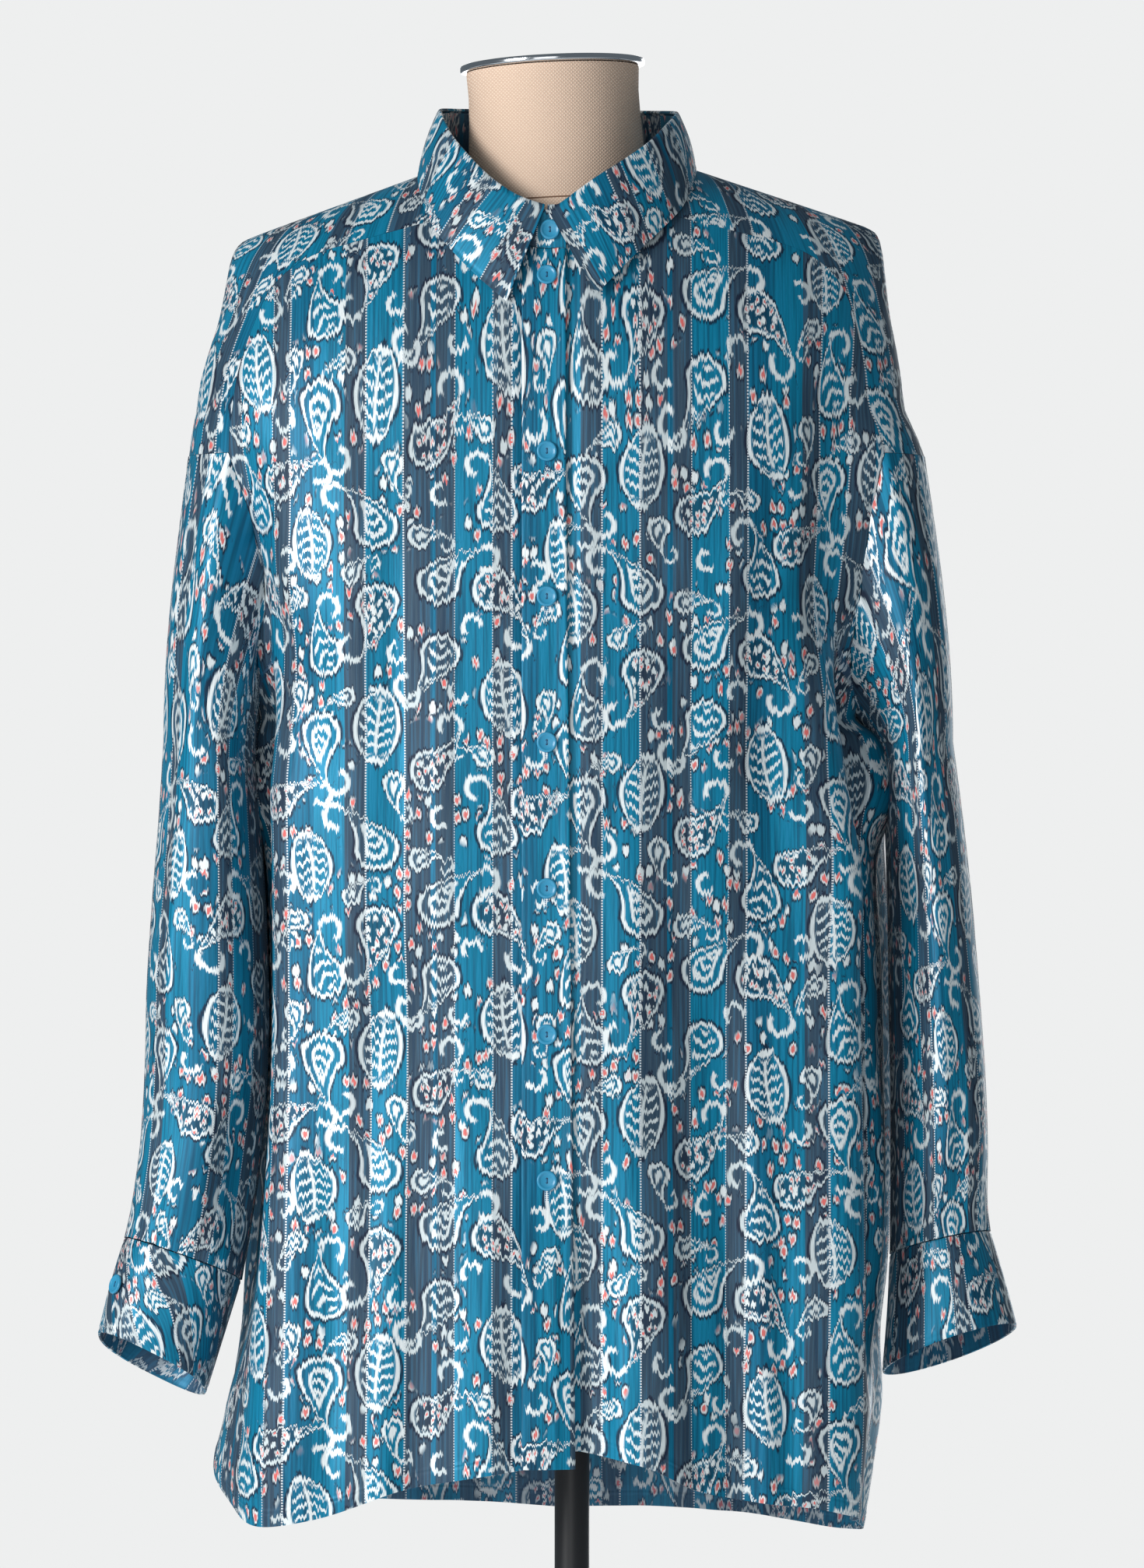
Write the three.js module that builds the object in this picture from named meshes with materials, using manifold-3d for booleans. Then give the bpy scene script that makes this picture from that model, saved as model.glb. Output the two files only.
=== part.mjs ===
// A long-sleeved tunic shirt on a limbless dress form with a round base.
// Millimetres, +Z up. The front faces -Y, +X is the viewer's right, and the origin is on the floor under the pole.
// Left and right in the names of the pieces are the wearer's: the wearer's right side has negative X.
import * as THREE from 'three';
import { mergeVertices } from 'three/addons/utils/BufferGeometryUtils.js';
import Module from 'manifold-3d';

const wasm = await Module();
wasm.setup();

// Driving dimensions
const CLOTH = 1.2;            // wall of a single layer of cloth
const DOUBLE = 1.6;           // wall of a band, stand or cuff, which is two layers
const SEAM = 0.35;            // half of the space between two pieces at a seam
const BODY_X = -8;            // middle line of the shoulders and chest
const RIDGE_Z = 1419;         // shoulder line, RIDGE_AT from the middle line
const RIDGE_AT = 118;
const RIDGE_SLOPE = 0.35;     // fall of the shoulder line for each millimetre outward
const LEAN = 0.018;           // the whole figure leans a little to the viewer's left
const ARM_Z = 1264;           // top of the dropped armhole
const UNDERARM_Z = 1110;
const ARM_DEPTH = 60;         // half the width of the armhole, front to back
const NECK = { y: -15, width: 70, depth: 65, corner: Math.PI / 4, room: 1 };
const BAND = { inner: -21, outerTop: 4.4, outerHem: 10, proud: 0.6 };
const UNDERLAP = { inner: -18, sunk: 2.2, ramp: 12 };
const BUTTON = { radius: 5.9, thick: 2.3, rim: 0.5 };
const POLE_RADIUS = 10.3;
const BASE_RADIUS = 175;

const FRONT = -1;
const BACK = 1;
const UNDERARM_DROP = ARM_Z - UNDERARM_Z;

// Small helpers
const mix = (a, b, t) => a + (b - a) * t;
const clamp = (t) => Math.min(1, Math.max(0, t));
const smooth = (t) => clamp(t) ** 2 * (3 - 2 * clamp(t));
const degrees = (angle) => angle * Math.PI / 180;

function table(columns, rows) {
  return rows.map((row) => Object.fromEntries(columns.map((name, k) => [name, row[k]])));
}

// A smooth reading of one column of a table, at a place along its first column
function read(rows, key, name, at) {
  const rising = rows[rows.length - 1][key] > rows[0][key];
  let k = 0;
  while (k < rows.length - 2 && (rising ? at > rows[k + 1][key] : at < rows[k + 1][key])) k += 1;
  const slope = (j) => {
    const before = rows[Math.max(0, j - 1)];
    const after = rows[Math.min(rows.length - 1, j + 1)];
    return (after[name] - before[name]) / (after[key] - before[key]);
  };
  const span = rows[k + 1][key] - rows[k][key];
  const t = clamp((at - rows[k][key]) / span);
  const t2 = t * t;
  const t3 = t2 * t;
  return (2 * t3 - 3 * t2 + 1) * rows[k][name] + (t3 - 2 * t2 + t) * span * slope(k)
    + (3 * t2 - 2 * t3) * rows[k + 1][name] + (t3 - t2) * span * slope(k + 1);
}

// Half widths from the middle line over the shoulder and the upper arm, by the share of the drop to the armhole
const SHOULDER = table(['drop', 'left', 'right'], [
  [0, 179, 181], [0.03, 187.5, 187.5], [0.1, 193, 191], [0.25, 197, 193.5], [0.4, 201, 196],
  [0.53, 206.5, 199.5], [0.67, 211.5, 202.5], [0.81, 214, 205], [0.9, 216.5, 211], [1, 218, 216],
]);

// Level sections below the top of the armhole: half widths, depths and squareness
const BODY = table(['z', 'left', 'right', 'front', 'back', 'power', 'backPower'], [
  [1264, 218, 216, 100, 92, 2.6, 2.6],
  [1200, 199, 198, 105, 96, 2.5, 2.6],
  [1150, 186, 184, 108, 98, 2.45, 2.7],
  [1110, 177, 175.5, 110, 100, 2.4, 2.8],
  [1090, 175.5, 177, 110.5, 100.5, 2.35, 2.9],
  [1060, 182, 190, 111, 101, 2.3, 3],
  [1000, 181.5, 199, 112, 102, 2.25, 3.2],
  [940, 180, 202, 112, 103, 2.25, 3.2],
  [880, 181.5, 202, 112, 104, 2.3, 3.2],
  [830, 185.5, 201, 113, 105, 2.4, 3.1],
  [780, 190, 198, 114, 106, 2.5, 3],
  [740, 191, 188.5, 115, 107, 2.6, 2.9],
  [700, 197, 184.5, 116, 108, 2.7, 2.8],
  [670, 203, 179, 117, 109, 2.8, 2.8],
  [640, 198, 173, 117, 109, 2.8, 2.8],
  [620, 192, 168, 117, 109, 2.8, 2.8],
]);

// Hem heights along each half, by the share of the way from the middle to the side
const HEM_FRONT = table(['share', 'left', 'right'], [
  [0, 677, 687], [0.17, 670, 678], [0.3, 663, 664], [0.42, 652, 658], [0.5, 646, 655], [0.6, 642, 652],
  [0.68, 646, 647], [0.78, 656, 642], [0.9, 667, 638], [1, 673, 637],
]);
const HEM_BACK = table(['share', 'left', 'right'], [
  [0, 633, 633], [0.3, 638, 634], [0.6, 642, 628], [0.85, 658, 627], [1, 673, 637],
]);

// The largest folds: where each runs, as distances from the middle along the cloth, its half width and its height.
// A positive height is a crest and a negative one a trough.
const FOLDS = table(['face', 'side', 'top', 'from', 'bottom', 'to', 'half', 'height'], [
  [FRONT, -1, 1262, 172, 1120, 150, 20, 8],
  [FRONT, -1, 1300, 196, 1110, 176, 18, -9],
  [FRONT, -1, 1290, 124, 900, 118, 17, 5],
  [FRONT, -1, 1160, 162, 540, 172, 25, 13],
  [FRONT, -1, 1010, 84, 540, 80, 24, -7],
  [FRONT, -1, 900, 40, 540, 42, 24, 5],
  [FRONT, 1, 850, 20, 540, 22, 13, -9],
  [FRONT, 1, 880, 52, 540, 58, 22, 5],
  [FRONT, 1, 1020, 88, 540, 112, 24, -7],
  [FRONT, 1, 1350, 168, 1100, 172, 26, -9],
  [FRONT, 1, 1190, 150, 960, 172, 24, 12],
  [FRONT, 1, 1080, 172, 540, 172, 26, 15],
  [BACK, -1, 1240, 70, 540, 92, 26, -8],
  [BACK, -1, 1180, 188, 540, 196, 22, 12],
  [BACK, -1, 900, 34, 540, 38, 24, 5],
  [BACK, 1, 1260, 60, 540, 76, 26, -8],
  [BACK, 1, 1150, 200, 540, 208, 22, 12],
  [BACK, 1, 940, 116, 540, 118, 20, 5],
]);
const FOLD_END = 90;          // length over which a fold rises and dies away
const TUCK = { from: 26, half: 30, height: -11, top: 1120, bottom: 700 };

// The body of the tunic

// A quarter of a superellipse in steps: across and deep at each, with the length so far
const QUARTER_STEPS = 40;
const quarters = new Map();
function quarter(across, deep, power) {
  const key = `${across.toFixed(3)} ${deep.toFixed(3)} ${power.toFixed(3)}`;
  if (quarters.has(key)) return quarters.get(key);
  const steps = [];
  let length = 0;
  for (let k = 0; k <= QUARTER_STEPS; k += 1) {
    const turn = k / QUARTER_STEPS * Math.PI / 2;
    const x = k === 0 ? 0 : across * Math.sin(turn) ** (2 / power);
    const y = k === QUARTER_STEPS ? 0 : deep * Math.cos(turn) ** (2 / power);
    if (k > 0) length += Math.hypot(x - steps[k - 1].x, y - steps[k - 1].y);
    steps.push({ x, y, length });
  }
  quarters.set(key, steps);
  return steps;
}

function onQuarter(steps, length) {
  let k = 0;
  while (k < QUARTER_STEPS - 1 && steps[k + 1].length < length) k += 1;
  const start = steps[k];
  const end = steps[k + 1];
  const span = end.length - start.length;
  const t = (length - start.length) / span;
  return {
    x: mix(start.x, end.x, t),
    y: mix(start.y, end.y, t),
    outX: (start.y - end.y) / span,
    outY: (end.x - start.x) / span,
  };
}

const sideName = (side) => (side < 0 ? 'left' : 'right');
const ridgeHeight = (side, x) => RIDGE_Z - RIDGE_SLOPE * (x - RIDGE_AT) + side * LEAN * x;

// A level is an arch angle over the shoulders when it is below 0, from -1 at the ridge to 0 at the armhole's top.
// Above 0 it is the distance below the armhole's top.
function section(face, side, level) {
  const name = sideName(side);
  const deepKey = face === FRONT ? 'front' : 'back';
  if (level < 0) {
    const turn = (1 + level) * Math.PI / 2;
    const drop = 1 - Math.cos(turn);
    const across = read(SHOULDER, 'drop', name, drop);
    const deep = read(BODY, 'z', deepKey, ARM_Z) * Math.sin(turn);
    return { drop, across, steps: quarter(across, deep, BODY[0].power) };
  }
  const z = ARM_Z - level;
  const across = read(BODY, 'z', name, z);
  const power = read(BODY, 'z', face === FRONT ? 'power' : 'backPower', z);
  return { drop: 1, across, z, steps: quarter(across, read(BODY, 'z', deepKey, z), power) };
}

const quarterLength = (face, side, level) => section(face, side, level).steps[QUARTER_STEPS].length;

function foldHeight(face, side, along, whole, z) {
  let height = 0;
  for (const fold of FOLDS) {
    if (fold.face !== face || fold.side !== side || z > fold.top || z < fold.bottom) continue;
    const t = (fold.top - z) / (fold.top - fold.bottom);
    const off = (along - mix(fold.from, fold.to, t)) / fold.half;
    const ends = smooth((fold.top - z) / FOLD_END) * smooth((z - fold.bottom) / FOLD_END);
    if (Math.abs(off) < 2.5) height += fold.height * ends * Math.exp(-off * off);
  }
  const reach = smooth((TUCK.top - z) / FOLD_END) * smooth((z - TUCK.bottom) / FOLD_END);
  const near = (whole - along - TUCK.from) / TUCK.half;
  const far = (whole - along + TUCK.from) / TUCK.half;
  return height + TUCK.height * reach * (Math.exp(-near * near) + Math.exp(-far * far));
}

// A point of the cloth's outer face: its face, the signed distance along the cloth from the middle, and its level
function bodyPoint(face, along, level, raise = 0) {
  const side = along < 0 ? -1 : 1;
  const cut = section(face, side, level);
  const whole = cut.steps[QUARTER_STEPS].length;
  const at = onQuarter(cut.steps, Math.min(Math.abs(along), whole));
  const first = read(SHOULDER, 'drop', sideName(side), 0);
  const z = level < 0
    ? mix(ridgeHeight(side, at.x * first / cut.across), ARM_Z, cut.drop)
    : cut.z;
  const out = raise + foldHeight(face, side, Math.abs(along), whole, z);
  const flat = level < 0 ? Math.sin((1 + level) * Math.PI / 2) : 1;
  return new THREE.Vector3(
    BODY_X + side * (at.x + at.outX * out * flat),
    face * (at.y + at.outY * out * flat),
    z + out * (1 - flat),
  );
}

// Where the arch of the shoulders lies over a place in plan, measured from the middle line
function onArch(side, x, y) {
  const face = y < 0 ? FRONT : BACK;
  const deepest = read(BODY, 'z', face === FRONT ? 'front' : 'back', ARM_Z);
  const power = BODY[0].power;
  let low = 0.001;
  let high = Math.PI / 2;
  for (let k = 0; k < 40; k += 1) {
    const turn = (low + high) / 2;
    const across = read(SHOULDER, 'drop', sideName(side), 1 - Math.cos(turn));
    const sum = Math.abs(x / across) ** power + Math.abs(y / (deepest * Math.sin(turn))) ** power;
    if (sum > 1) low = turn;
    else high = turn;
  }
  const level = low / (Math.PI / 2) - 1;
  const steps = section(face, side, level).steps;
  let near = 0;
  let far = steps[QUARTER_STEPS].length;
  for (let k = 0; k < 30; k += 1) {
    const middle = (near + far) / 2;
    if (onQuarter(steps, middle).x < Math.abs(x)) near = middle;
    else far = middle;
  }
  return { face, level, along: near, share: near / steps[QUARTER_STEPS].length };
}

function neckPlan(turn) {
  return { x: NECK.width * Math.sin(turn), y: NECK.y - NECK.depth * Math.cos(turn) };
}

function onNeck(side, turn, grow = 0) {
  const plan = neckPlan(turn);
  const length = Math.hypot(plan.x, plan.y - NECK.y);
  const scale = (length + grow) / length;
  return onArch(side, plan.x * scale, NECK.y + (plan.y - NECK.y) * scale);
}

// Share of the quarter at which the armhole's edge lies, for a level below its top
function armholeShare(face, side, level) {
  if (level >= UNDERARM_DROP) return 1;
  const wanted = ARM_DEPTH * Math.sqrt(1 - (level / UNDERARM_DROP) ** 2);
  const steps = section(face, side, level).steps;
  let near = 0;
  let far = 1;
  for (let k = 0; k < 30; k += 1) {
    const middle = (near + far) / 2;
    if (onQuarter(steps, middle * steps[QUARTER_STEPS].length).y > wanted) near = middle;
    else far = middle;
  }
  return near;
}

// The seam from the neck (0) to the armhole (1) in front, and from the middle of the back (0) to the armhole (1)
function frontSeam(side, t) {
  const start = onNeck(side, NECK.corner);
  const end = armholeShare(FRONT, side, 0);
  return {
    share: mix(start.share, end, Math.sin(Math.PI / 2 * Math.min(1, t / 0.7))),
    level: start.level * Math.cos(Math.PI / 2 * clamp((t - 0.35) / 0.65)),
  };
}
const BACK_SEAM_LEVEL = -0.25;
function backSeam(side, t) {
  return { share: armholeShare(BACK, side, 0) * t, level: BACK_SEAM_LEVEL * (1 - t ** 3) };
}

// Solids

function solid(positions, triangles) {
  const geometry = new THREE.BufferGeometry();
  geometry.setAttribute('position', new THREE.Float32BufferAttribute(positions, 3));
  geometry.setIndex(triangles);
  return geometry;
}

// A wall of cloth: its outer face is a grid of points, and its inner face is that grid moved in by its thickness
function wall(points, thick, centre, closed = false) {
  const columns = points.length;
  const rows = points[0].length;
  const at = (i, j) => points[closed ? (i + columns) % columns : Math.min(columns - 1, Math.max(0, i))][
    Math.min(rows - 1, Math.max(0, j))];
  const normals = points.map((column, i) => column.map((point, j) => {
    const across = at(i + 1, j).clone().sub(at(i - 1, j));
    const down = at(i, j + 1).clone().sub(at(i, j - 1));
    return across.cross(down).normalize();
  }));
  let facing = 0;
  points.forEach((column, i) => column.forEach((point, j) => {
    facing += Math.sign(normals[i][j].dot(point.clone().sub(centre(i, j, point))));
  }));
  const sign = facing < 0 ? -1 : 1;
  const positions = [];
  for (const layer of [0, thick]) {
    points.forEach((column, i) => column.forEach((point, j) => {
      const moved = point.clone().addScaledVector(normals[i][j], -sign * layer);
      positions.push(moved.x, moved.y, moved.z);
    }));
  }
  const index = (layer, i, j) => layer * columns * rows + (i % columns) * rows + j;
  const triangles = [];
  const quad = (a, b, c, d, turned = false) => {
    const faces = turned ? [[b, c, d], [b, d, a]] : [[a, b, c], [a, c, d]];
    for (const [p, q, r] of faces) triangles.push(...(sign > 0 ? [p, q, r] : [p, r, q]));
  };
  const last = closed ? columns : columns - 1;
  for (let i = 0; i < last; i += 1) {
    for (let j = 0; j < rows - 1; j += 1) {
      // Each square is split along its shorter diagonal, so that the cloth has no false creases
      const turned = at(i, j).distanceTo(at(i + 1, j + 1)) > at(i + 1, j).distanceTo(at(i, j + 1));
      quad(index(0, i, j), index(0, i + 1, j), index(0, i + 1, j + 1), index(0, i, j + 1), turned);
      quad(index(1, i, j), index(1, i, j + 1), index(1, i + 1, j + 1), index(1, i + 1, j), turned);
    }
    quad(index(1, i, 0), index(1, i + 1, 0), index(0, i + 1, 0), index(0, i, 0));
    quad(index(0, i, rows - 1), index(0, i + 1, rows - 1), index(1, i + 1, rows - 1), index(1, i, rows - 1));
  }
  if (!closed) {
    for (let j = 0; j < rows - 1; j += 1) {
      quad(index(0, 0, j), index(0, 0, j + 1), index(1, 0, j + 1), index(1, 0, j));
      quad(index(1, columns - 1, j), index(1, columns - 1, j + 1), index(0, columns - 1, j + 1),
        index(0, columns - 1, j));
    }
  }
  return solid(positions, triangles);
}

const spaced = (count, place = (t) => t) => Array.from({ length: count + 1 }, (_, k) => place(k / count));
const axisAt = (i, j, point) => new THREE.Vector3(BODY_X, 0, point.z - 60);

// Fronts

const SEAM_COLUMNS = 11;      // along a shoulder seam
const NECK_COLUMNS = 3;       // along the neckline in front
const NAPE_COLUMNS = 8;       // along the neckline behind, to its middle
const ARMHOLE_ROWS = 5;
const SKIRT_ROWS = 13;

const hemLevel = (face, side, share) => (
  ARM_Z - read(face === FRONT ? HEM_FRONT : HEM_BACK, 'share', sideName(side), share));

// Rows of a panel as shares of the way down its outer edge, with one row at the underarm
function panelRows(drop) {
  const turn = UNDERARM_DROP / drop;
  return [...spaced(ARMHOLE_ROWS, (t) => t * turn), ...spaced(SKIRT_ROWS, (t) => mix(turn, 1, t)).slice(1)];
}

// The level below a start on the arch, as one measure of length down the cloth
const ARCH_LENGTH = 150;
const toDown = (level) => (level < 0 ? level * ARCH_LENGTH : level);
const toLevel = (down) => (down < 0 ? down / ARCH_LENGTH : down);

// One half of a front or the back: starts are the places along its top edge, inner is the distance of its inner edge
function panel(face, side, starts, inner, raise = () => 0) {
  const edgeDrop = hemLevel(face, side, 1);
  const rows = panelRows(edgeDrop);
  const last = starts.length - 1;
  return starts.map((start, i) => rows.map((down) => {
    const t = i / last;
    const hem = hemLevel(face, side, t);
    const level = toLevel(mix(toDown(start.level), hem, down));
    const edgeLevel = down * edgeDrop;
    const edge = armholeShare(face, side, edgeLevel) * quarterLength(face, side, edgeLevel) - SEAM;
    const first = mix(inner(level), armholeShare(face, side, 0) * quarterLength(face, side, 0) - SEAM, t);
    const settle = 1 - smooth(down / 0.3);
    const along = mix(inner(level), edge, t) + (start.along - first) * settle;
    const reach = Math.min(along, quarterLength(face, side, level) - SEAM);
    return bodyPoint(face, side * reach, level, raise(side * reach, level));
  }));
}

// Top edge of a front, from its inner edge up the neckline and out along the shoulder seam
function frontStarts(side, innerAlong) {
  const start = Math.asin(innerAlong / NECK.width);
  const neck = spaced(NECK_COLUMNS, (t) => onNeck(side, mix(start, NECK.corner, t), SEAM)).slice(0, -1);
  const seam = spaced(SEAM_COLUMNS, (t) => {
    const place = frontSeam(side, t);
    const level = t === 1 ? 0 : Math.min(0, place.level + SEAM / ARCH_LENGTH);
    return { level, along: place.share * quarterLength(FRONT, side, level) - 2 * SEAM };
  });
  return [...neck, ...seam];
}

function frontRight() {
  const inner = -BAND.inner + SEAM;
  return wall(panel(FRONT, -1, frontStarts(-1, inner), () => inner), CLOTH, axisAt);
}

const bandEdge = (level) => mix(BAND.outerTop, BAND.outerHem, clamp(level / hemLevel(FRONT, -1, 0)));

// How far the underlap is sunk below the band that covers it
function sink(along, level) {
  const past = (along - bandEdge(level) - 2) / UNDERLAP.ramp;
  return -UNDERLAP.sunk * (1 - smooth(past));
}

function frontLeft() {
  const side = 1;
  const inner = BAND.outerTop + 2;
  const starts = frontStarts(side, inner);
  const points = panel(FRONT, side, starts, (level) => bandEdge(level) + 2, sink);
  const rows = panelRows(hemLevel(FRONT, side, 1));
  const lap = [UNDERLAP.inner, mix(UNDERLAP.inner, inner, 0.55)].map((along) => rows.map((down) => {
    const top = onNeck(Math.sign(along) || 1, Math.asin(Math.abs(along) / NECK.width), SEAM).level;
    const level = toLevel(mix(toDown(top), hemLevel(FRONT, side, 0), down));
    return bodyPoint(FRONT, along, level, sink(along, level));
  }));
  return wall([...lap, ...points], CLOTH, axisAt);
}

// The buttonhole band, moved out from the front's points
const BAND_COLUMNS = 3;
const BAND_ROWS = 28;
function placketPoints(raise) {
  return spaced(BAND_COLUMNS).map((t) => spaced(BAND_ROWS).map((down) => {
    const topAlong = mix(BAND.inner + SEAM, BAND.outerTop, t);
    const top = onNeck(topAlong < 0 ? -1 : 1, Math.asin(Math.abs(topAlong) / NECK.width), SEAM).level;
    const level = toLevel(mix(toDown(top), hemLevel(FRONT, -1, 0), down));
    const along = mix(BAND.inner + SEAM, bandEdge(level), t);
    return bodyPoint(FRONT, along, level, raise);
  }));
}
const placket = () => wall(placketPoints(BAND.proud), DOUBLE, axisAt);

// Back

const NAPE_SHARE = 0.6;        // share of the back's half seam that lies behind the neck
const seamShare = (k) => (k <= SEAM_COLUMNS
  ? mix(1, NAPE_SHARE, k / SEAM_COLUMNS)
  : NAPE_SHARE * (1 - (k - SEAM_COLUMNS) / NAPE_COLUMNS));
const HALF_COLUMNS = SEAM_COLUMNS + NAPE_COLUMNS;

function backStarts(side) {
  return spaced(HALF_COLUMNS, (t) => HALF_COLUMNS * (1 - t)).map((k) => {
    const place = backSeam(side, seamShare(k));
    const level = k === 0 ? 0 : Math.min(0, place.level + SEAM / ARCH_LENGTH);
    return { level, along: place.share * quarterLength(BACK, side, level) };
  });
}

function back() {
  const left = panel(BACK, -1, backStarts(-1), () => 0);
  const right = panel(BACK, 1, backStarts(1), () => 0);
  return wall([...left.reverse(), ...right.slice(1)], CLOTH, axisAt);
}

// Yoke: from the front seams over the shoulders to the seam across the back

const TIP_COLUMN = 0.42;      // share of the seam's columns that lies on the upper arm
const RIDGE_SHARE = 0.5;       // share of the shoulder line where the columns turn behind the neck
const YOKE_FRONT_ROWS = 4;
const YOKE_BACK_ROWS = 6;
const signedTurn = (place) => place.face * (1 + place.level) * 90;

// A place on the chart of the shoulders, with its turn in degrees, positive behind the ridge
function chartPoint(side, share, turn) {
  const face = turn < 0 ? FRONT : BACK;
  const level = Math.abs(turn) / 90 - 1;
  return bodyPoint(face, side * share * quarterLength(face, side, level), level);
}

function yokeColumn(side, k) {
  const onSeam = k <= SEAM_COLUMNS;
  const behind = backSeam(side, seamShare(k));
  const end = { share: behind.share, turn: (1 + behind.level) * 90 - SEAM };
  let start;
  if (onSeam) {
    const seam = frontSeam(side, 1 - k / SEAM_COLUMNS);
    const past = 2 * SEAM / quarterLength(FRONT, side, seam.level);
    start = { share: seam.share + past, turn: -(1 + seam.level) * 90 + SEAM };
  } else {
    const turn = mix(NECK.corner, Math.PI, (k - SEAM_COLUMNS) / NAPE_COLUMNS);
    const place = onNeck(side, turn, NECK.room);
    start = { share: place.share, turn: signedTurn(place) };
  }
  const t = Math.min(1, k / SEAM_COLUMNS);
  const upArm = clamp(t / TIP_COLUMN);
  let crest = { share: mix(1, RIDGE_SHARE, clamp((t - TIP_COLUMN) / (1 - TIP_COLUMN))), turn: 90 * (1 - upArm) };
  if (!onSeam) {
    const hold = clamp(1 - (k - SEAM_COLUMNS) / 5);
    const half = { share: (start.share + end.share) / 2 + 0.03, turn: (start.turn + end.turn) / 2 };
    crest = { share: mix(half.share, RIDGE_SHARE, hold), turn: half.turn * (1 - hold) ** 2 };
  }
  const column = [];
  for (let j = 0; j < YOKE_FRONT_ROWS; j += 1) {
    const q = j / YOKE_FRONT_ROWS;
    const crestTurn = onSeam ? -crest.turn : crest.turn;
    column.push(chartPoint(side, mix(start.share, crest.share, q), mix(start.turn, crestTurn, q)));
  }
  for (let j = 0; j <= YOKE_BACK_ROWS; j += 1) {
    const q = (j / YOKE_BACK_ROWS) ** 1.25;
    column.push(chartPoint(side, mix(crest.share, end.share, q), mix(crest.turn, end.turn, q)));
  }
  return column;
}

function yoke() {
  const half = (side) => spaced(HALF_COLUMNS, (t) => yokeColumn(side, Math.round(t * HALF_COLUMNS)));
  const right = half(1).reverse();
  return wall([...half(-1), ...right.slice(1)], CLOTH, axisAt);
}

// Sleeves and cuffs: rings given by their outermost and innermost points, middle, half depth and lift in front

const RING = ['outX', 'outZ', 'inX', 'inZ', 'midY', 'deep', 'lift'];
const SLEEVE_RINGS = {
  left: table(RING, [
    [-241, 1096, -186, 1082, 0, 62, 0],
    [-244, 1050, -183.5, 1044, 0, 62, 0],
    [-248, 1000, -180.5, 993, 0, 60, 0],
    [-251, 950, -179, 942, -1, 58, 0],
    [-252, 905, -180, 894, -2, 55, 1],
    [-254.5, 862, -184, 848, -3, 51, 3],
    [-259, 827, -190, 808, -4, 47, 5],
    [-263.5, 803, -195.5, 779, -5, 43, 6],
  ]),
  right: table(RING, [
    [225, 1096, 184, 1082, 0, 62, 0],
    [231, 1050, 185, 1044, 0, 62, 0],
    [236.5, 1000, 186.5, 993, 0, 60, 0],
    [240.5, 950, 187, 942, -1, 58, 0],
    [244, 900, 188, 891, -2, 55, 1],
    [245.5, 858, 188, 847, -3, 51, 3],
    [245, 825, 188, 813, -4, 47, 5],
    [246.5, 807, 188, 794, -5, 43, 6],
  ]),
};
const CUFF_RINGS = {
  left: table(RING, [
    [-263.8, 802.3, -195.8, 778.3, -5, 43, 6],
    [-272, 774, -206, 746, -9, 43.5, 9],
    [-279, 745, -216, 714, -13, 42, 11],
  ]),
  right: table(RING, [
    [246.8, 806.3, 187.9, 793.3, -5, 43, 6],
    [255, 778, 186, 759, -9, 43.5, 9],
    [262, 751, 183, 725, -13, 42, 11],
  ]),
};
const SLEEVE_FOLDS = table(['side', 'top', 'from', 'bottom', 'to', 'half', 'height'], [
  [-1, 1240, 60, 960, 40, 20, -3.5],
  [-1, 1180, 105, 900, 95, 22, 3],
  [-1, 900, 125, 790, 130, 22, -6],
  [-1, 1150, -60, 820, -80, 26, -4],
  [1, 1230, 60, 1000, 75, 20, -3.5],
  [1, 1120, 110, 850, 120, 24, -4],
  [1, 1150, -70, 820, -60, 26, -4],
  [1, 980, 40, 800, 50, 20, 3],
]);
const SLEEVE_COLUMNS = 16;
const SLEEVE_TOP_ROWS = 5;
const CUFF_COLUMNS = 20;

function ringPoint(ring, turn) {
  const middle = new THREE.Vector3((ring.outX + ring.inX) / 2, ring.midY, (ring.outZ + ring.inZ) / 2);
  const across = new THREE.Vector3((ring.outX - ring.inX) / 2, 0, (ring.outZ - ring.inZ) / 2);
  const forward = new THREE.Vector3(0, -ring.deep, ring.lift);
  return middle.addScaledVector(across, Math.cos(turn)).addScaledVector(forward, Math.sin(turn));
}

// The armhole seam, from its top (0) forward and down to the underarm (pi) and up behind
const ARM_TOP_TURN = degrees(75);
function armholePoint(side, turn) {
  const face = Math.sin(turn) >= 0 ? FRONT : BACK;
  const half = turn <= Math.PI ? turn : 2 * Math.PI - turn;
  const corner = armholeShare(face, side, 0);
  if (half <= ARM_TOP_TURN) {
    return bodyPoint(face, side * mix(1, corner, half / ARM_TOP_TURN) * quarterLength(face, side, 0), 0);
  }
  const t = (half - ARM_TOP_TURN) / (Math.PI - ARM_TOP_TURN);
  const level = UNDERARM_DROP * Math.sin(t * Math.PI / 2);
  return bodyPoint(face, side * armholeShare(face, side, level) * quarterLength(face, side, level), level);
}

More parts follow.
